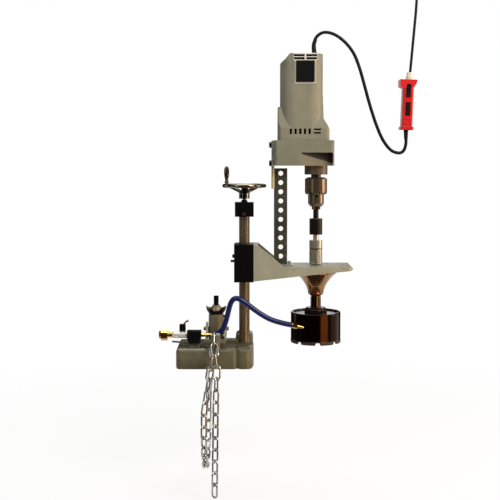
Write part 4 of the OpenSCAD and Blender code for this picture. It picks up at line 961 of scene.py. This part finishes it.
@dataclass
class Drill:
    """The drill's gear case, motor housing, switch and works."""

    fin_count: int = 9
    fin_step: float = 8.0
    fin_w: float = 2.4
    fin_deep: float = 4.0
    fin_lean: float = 0.7
    fin_back_drop: float = 0.5
    fin_top: list[tuple[float, float]] = field(default_factory=lambda: [
        (159.0, 705.6), (160.6, 706.1), (165.4, 710.2), (168.3, 713.6), (171.2, 717.2),
        (171.8, 718.6)])

    def air_fins(self, finish: Finish) -> None:
        """Makes the row of fins across the air slot in the cap's shoulder.

        Args:
            finish: The cap's finish.
        """
        points: list[Vector] = []
        faces: list[tuple[int, ...]] = []
        row = len(self.fin_top)
        crown = ((-0.5, 0.5), (-0.3, 0.0), (0.3, 0.0), (0.5, 0.5))
        for k in range(self.fin_count):
            mid = (k - (self.fin_count - 1) / 2) * self.fin_step
            start = len(points)
            for side, drop in crown:
                y, off = mid + side * self.fin_w, self.fin_lean * drop
                points += [Vector((x + off, y, z - off)) * MM for x, z in self.fin_top]
            for side in (0.5, -0.5):
                y = mid + side * self.fin_w
                points += [Vector((x + self.fin_deep, y, z - self.fin_back_drop)) * MM
                           for x, z in self.fin_top]
            rings = [start + row * i for i in range(6)]
            for a, b in zip(rings, rings[1:] + rings[:1]):
                faces += [(a + i, a + i + 1, b + i + 1, b + i) for i in range(row - 1)]
            faces.append(tuple(reversed(rings)))
            faces.append(tuple(r + row - 1 for r in rings))
        fins = mesh_piece("cap_air_fins", points, faces)
        fins.data.materials.append(finish.material())
        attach(fins, "arm")
        LOG.info("made %s", fins.name)

    def build(self) -> None:
        """Dresses the drill's pieces."""
        bezel = Zone((Span(Axis.X, 185, 237), Span(Axis.Y, -60, -50.2), Span(Axis.Z, 650, 706)),
                     (176, 172, 156), 0.0, 0.46)
        grille = Zone((Span(Axis.X, 182.8, 239.2), Span(Axis.Y, -60, -44)), (212, 210, 200), 0.0,
                      0.46)
        front = Span(Axis.Y, -60, -40)
        # Painted shade: the vent slots and a thin rim round them are drawn near black, for the dark inside the
        # slots.
        vent_shade = tuple(Zone((Span(Axis.X, x, x + 25), front, Span(Axis.Z, z, z + 5.2)), (4, 4, 4),
                           0.0, 0.8) for x in (184, 213) for z in (707.6, 714.6))
        # Painted shade in the gear case's scoop: the hollow is drawn darker, and darkest in a wedge at its top
        # and right, where shadow falls.
        recess = (Span(Axis.X, 196, 277), Span(Axis.Y, -51.7, -20))
        shadow_wedge = Span(Axis.Z, 543.4, 566.0, fall=0.28)
        scoop_shade = (Zone((*recess, Span(Axis.Z, 459, 491)), (116, 110, 90), 0.0, 0.5),
                 Zone((*recess, shadow_wedge), (42, 38, 29), 0.0, 0.6))
        nose = Zone((Span(Axis.Z, 430, 459.2),), (92, 80, 64), 0.5, 0.4)
        neck = Zone((Span(Axis.Z, 430, 446),), (70, 62, 52), 0.9, 0.35)
        dress(Finish("case_grey", (127, 127, 108), (115, 115, 97), Grain.CAST, gloss=0.4,
                     roughness=0.44, grain_mm=2.2, relief=0.16, edge_mm=1.4, wear=0.3,
                     wear_tone=(200, 194, 178), zones=(nose, *scoop_shade)), "gear_case")
        dress(Finish("shell_grey", (133, 131, 113), (123, 121, 103), Grain.MOULDED, gloss=0.4,
                     roughness=0.46, grain_mm=0.9, relief=0.2, edge_mm=1.6, wear=0.3,
                     wear_tone=(206, 200, 186), zones=(bezel,)), "motor_housing")
        dress(Finish("cap_grey", (134, 132, 114), (124, 122, 104), Grain.MOULDED, gloss=0.4,
                     roughness=0.46, grain_mm=0.9, relief=0.2, edge_mm=1.2, wear=0.3,
                     wear_tone=(214, 208, 194), zones=(grille, *vent_shade)), "end_cap")
        self.air_fins(Finish("fin_grey", (124, 122, 104), (114, 112, 95), Grain.MOULDED, gloss=0.4,
                             roughness=0.48, grain_mm=0.9, relief=0.2, edge_mm=0.5))
        dress(Finish("paddle_black", (9, 9, 9), (15, 15, 14), Grain.MOULDED, gloss=0.15,
                     roughness=0.4, grain_mm=0.8, relief=0.25), "switch_paddle")
        dress(Finish("laminations", (62, 60, 58), (46, 44, 42), Grain.LAMINATED, metallic=0.8,
                     roughness=0.42, grain_mm=0.5, relief=0.4), "stator")
        dress(Finish("carbon", (30, 30, 32), (42, 42, 44), Grain.CAST, roughness=0.6, grain_mm=0.8,
                     relief=0.2), "carbon_brushes")
        coils = Zone((Span(Axis.Z, 628, 660),), (176, 110, 62), 0.9, 0.3)
        dress(Finish("rotor_steel", (92, 84, 76), (74, 66, 58), Grain.LAMINATED, metallic=0.85,
                     roughness=0.36, grain_mm=0.5, relief=0.3, zones=(coils,)), "armature")
        dress(Finish("gear_steel", (140, 140, 142), (112, 112, 114), Grain.TURNED, metallic=1.0,
                     roughness=0.3, grain_mm=0.4, relief=FINE_RELIEF, blotch_mm=WIDE_BLOTCH_MM,
                     zones=(neck,)), "counter_gear", "drill_spindle")


@dataclass
class DriveLine:
    """The chuck, the couplings, the cutter spindle and the hole saw."""

    centre: tuple[float, float] = (240.0, 0.0)

    def build(self) -> None:
        """Dresses the drive line's pieces."""
        dress(Finish("sleeve_steel", (108, 96, 76), (88, 78, 62), Grain.FLUTED, metallic=0.75,
                     roughness=0.19, grain_mm=4.0, relief=0.06, blotch_mm=WIDE_BLOTCH_MM,
                     centre=self.centre, count=40), "chuck_sleeve")
        dress(Finish("chuck_steel", (116, 103, 83), (92, 82, 66), Grain.TURNED, metallic=0.75,
                     roughness=0.19, grain_mm=0.5, relief=FINE_RELIEF, blotch_mm=WIDE_BLOTCH_MM),
              "chuck_body", "chuck_jaw_1", "chuck_jaw_2", "chuck_jaw_3")
        dress(Finish("adapter_black", (18, 14, 11), (30, 23, 17), Grain.TURNED, metallic=0.65,
                     roughness=0.36, grain_mm=0.5, relief=FINE_RELIEF, blotch_mm=WIDE_BLOTCH_MM,
                     edge_mm=0.7, wear=0.4), "drive_adapter")
        joint = Zone((Span(Axis.Z, 259.4, 261.4),), (46, 42, 34), 0.6, 0.5)
        dress(Finish("coupling_steel", (184, 180, 164), (160, 156, 141), Grain.TURNED,
                     metallic=0.68, roughness=0.17, grain_mm=0.8, relief=0.005,
                     blotch_mm=WIDE_BLOTCH_MM, zones=(joint,)), "shaft_coupling")
        shank = Zone((Span(Axis.Z, 280.5, 320),), (190, 186, 172), 0.6, 0.2)
        dress(Finish("spindle_steel", (96, 80, 62), (70, 58, 45), Grain.TURNED, metallic=1.0,
                     roughness=0.15, grain_mm=0.4, relief=FINE_RELIEF, blotch_mm=WIDE_BLOTCH_MM,
                     zones=(shank,)), "cutter_spindle")
        dress(Finish("hub_dark", (74, 60, 48), (52, 42, 34), Grain.TURNED, metallic=0.85,
                     roughness=0.2, grain_mm=0.6, relief=FINE_RELIEF, blotch_mm=WIDE_BLOTCH_MM,
                     edge_mm=1.0, wear=0.4), "saw_hub")
        grit = Zone((Span(Axis.Z, 30, 42.8),), (52, 46, 40), 0.35, 0.55)
        # Painted reflection: the black saw's metal tone is brown so that its reflections come out brown.
        dress(Finish("saw_black", (48, 31, 20), (38, 25, 16), Grain.ENAMEL, metallic=1.0,
                     roughness=0.13, grain_mm=9.0, relief=0.08, wear=0.4, wear_tone=(120, 92, 70),
                     zones=(grit,)), "hole_saw")


class WaterLine:
    """The inlet, the valve, the barb, the holder and the nozzle."""

    def build(self) -> None:
        """Dresses the water line's pieces."""
        dress(Finish("turned_brass", (190, 156, 94), (156, 124, 70), Grain.TURNED, metallic=1.0,
                     roughness=0.17, grain_mm=0.4, relief=FINE_RELIEF, blotch_mm=WIDE_BLOTCH_MM,
                     axis=Axis.X), "inlet_nut", "spray_nozzle")
        dress(Finish("barb_brass", (206, 178, 92), (176, 146, 70), Grain.TURNED, metallic=1.0,
                     roughness=0.15, grain_mm=0.4, relief=FINE_RELIEF, blotch_mm=WIDE_BLOTCH_MM,
                     axis=Axis.X), "hose_barb")
        dress(Finish("valve_chrome", (244, 244, 236), (226, 225, 217), Grain.ENAMEL, metallic=0.45,
                     roughness=0.14, grain_mm=3.0, relief=0.08), "water_valve")
        dress(Finish("seal_cream", (226, 214, 180), (206, 192, 156), Grain.MOULDED, roughness=0.5,
                     grain_mm=0.8, relief=0.2), "inlet_seal")
        lever = Zone((Span(Axis.Z, 82.4, 110),), (176, 150, 118), 0.9, 0.3)
        dress(Finish("grip_black", (7, 7, 7), (12, 12, 12), Grain.MOULDED, gloss=0.15,
                     roughness=0.4, grain_mm=0.8, relief=0.25, zones=(lever,)), "valve_handle")
        dress(Finish("holder_black", (6, 6, 6), (12, 12, 12), Grain.MOULDED, gloss=0.15,
                     roughness=0.46, grain_mm=1.0, relief=0.3, edge_mm=1.2), "hose_holder")


class SafetySwitch:
    """The red in-line safety switch, its gland, its buttons and the plug."""

    def build(self) -> None:
        """Dresses the switch and the plug."""
        dress(Finish("case_red", (212, 30, 30), (186, 20, 22), Grain.MOULDED, gloss=0.35,
                     roughness=0.3, grain_mm=0.9, relief=0.12, edge_mm=1.2, coat=0.2, wear=0.2,
                     wear_tone=(236, 110, 100)), "gfci_case")
        dress(Finish("gland_cream", (236, 238, 222), (220, 219, 200), Grain.MOULDED, roughness=0.45,
                     grain_mm=0.8, relief=0.2), "gfci_gland")
        dress(Finish("button_black", (10, 8, 8), (30, 12, 12), Grain.MOULDED, gloss=0.15,
                     roughness=0.38, grain_mm=0.8, relief=0.25), "gfci_test_button",
              "gfci_reset_button")
        blades = Zone((Span(Axis.Z, 904.5, 940),), (196, 168, 100), 1.0, 0.25)
        dress(Finish("plug_black", (22, 22, 22), (32, 32, 32), Grain.MOULDED, roughness=0.45,
                     grain_mm=0.9, relief=0.25, zones=(blades,)), "supply_plug")


def main() -> None:
    """Builds the scene piece by piece."""
    logging.basicConfig(level=logging.INFO, format="%(name)s: %(message)s")
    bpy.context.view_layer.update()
    Studio().build()
    for part in (Leads(), Stand(), Tensioner(), Feed(), Arm(), Drill(), DriveLine(), WaterLine(),
                 SafetySwitch()):
        part.build()
        LOG.info("finished %s", type(part).__name__)


if __name__ == "__main__":
    main()
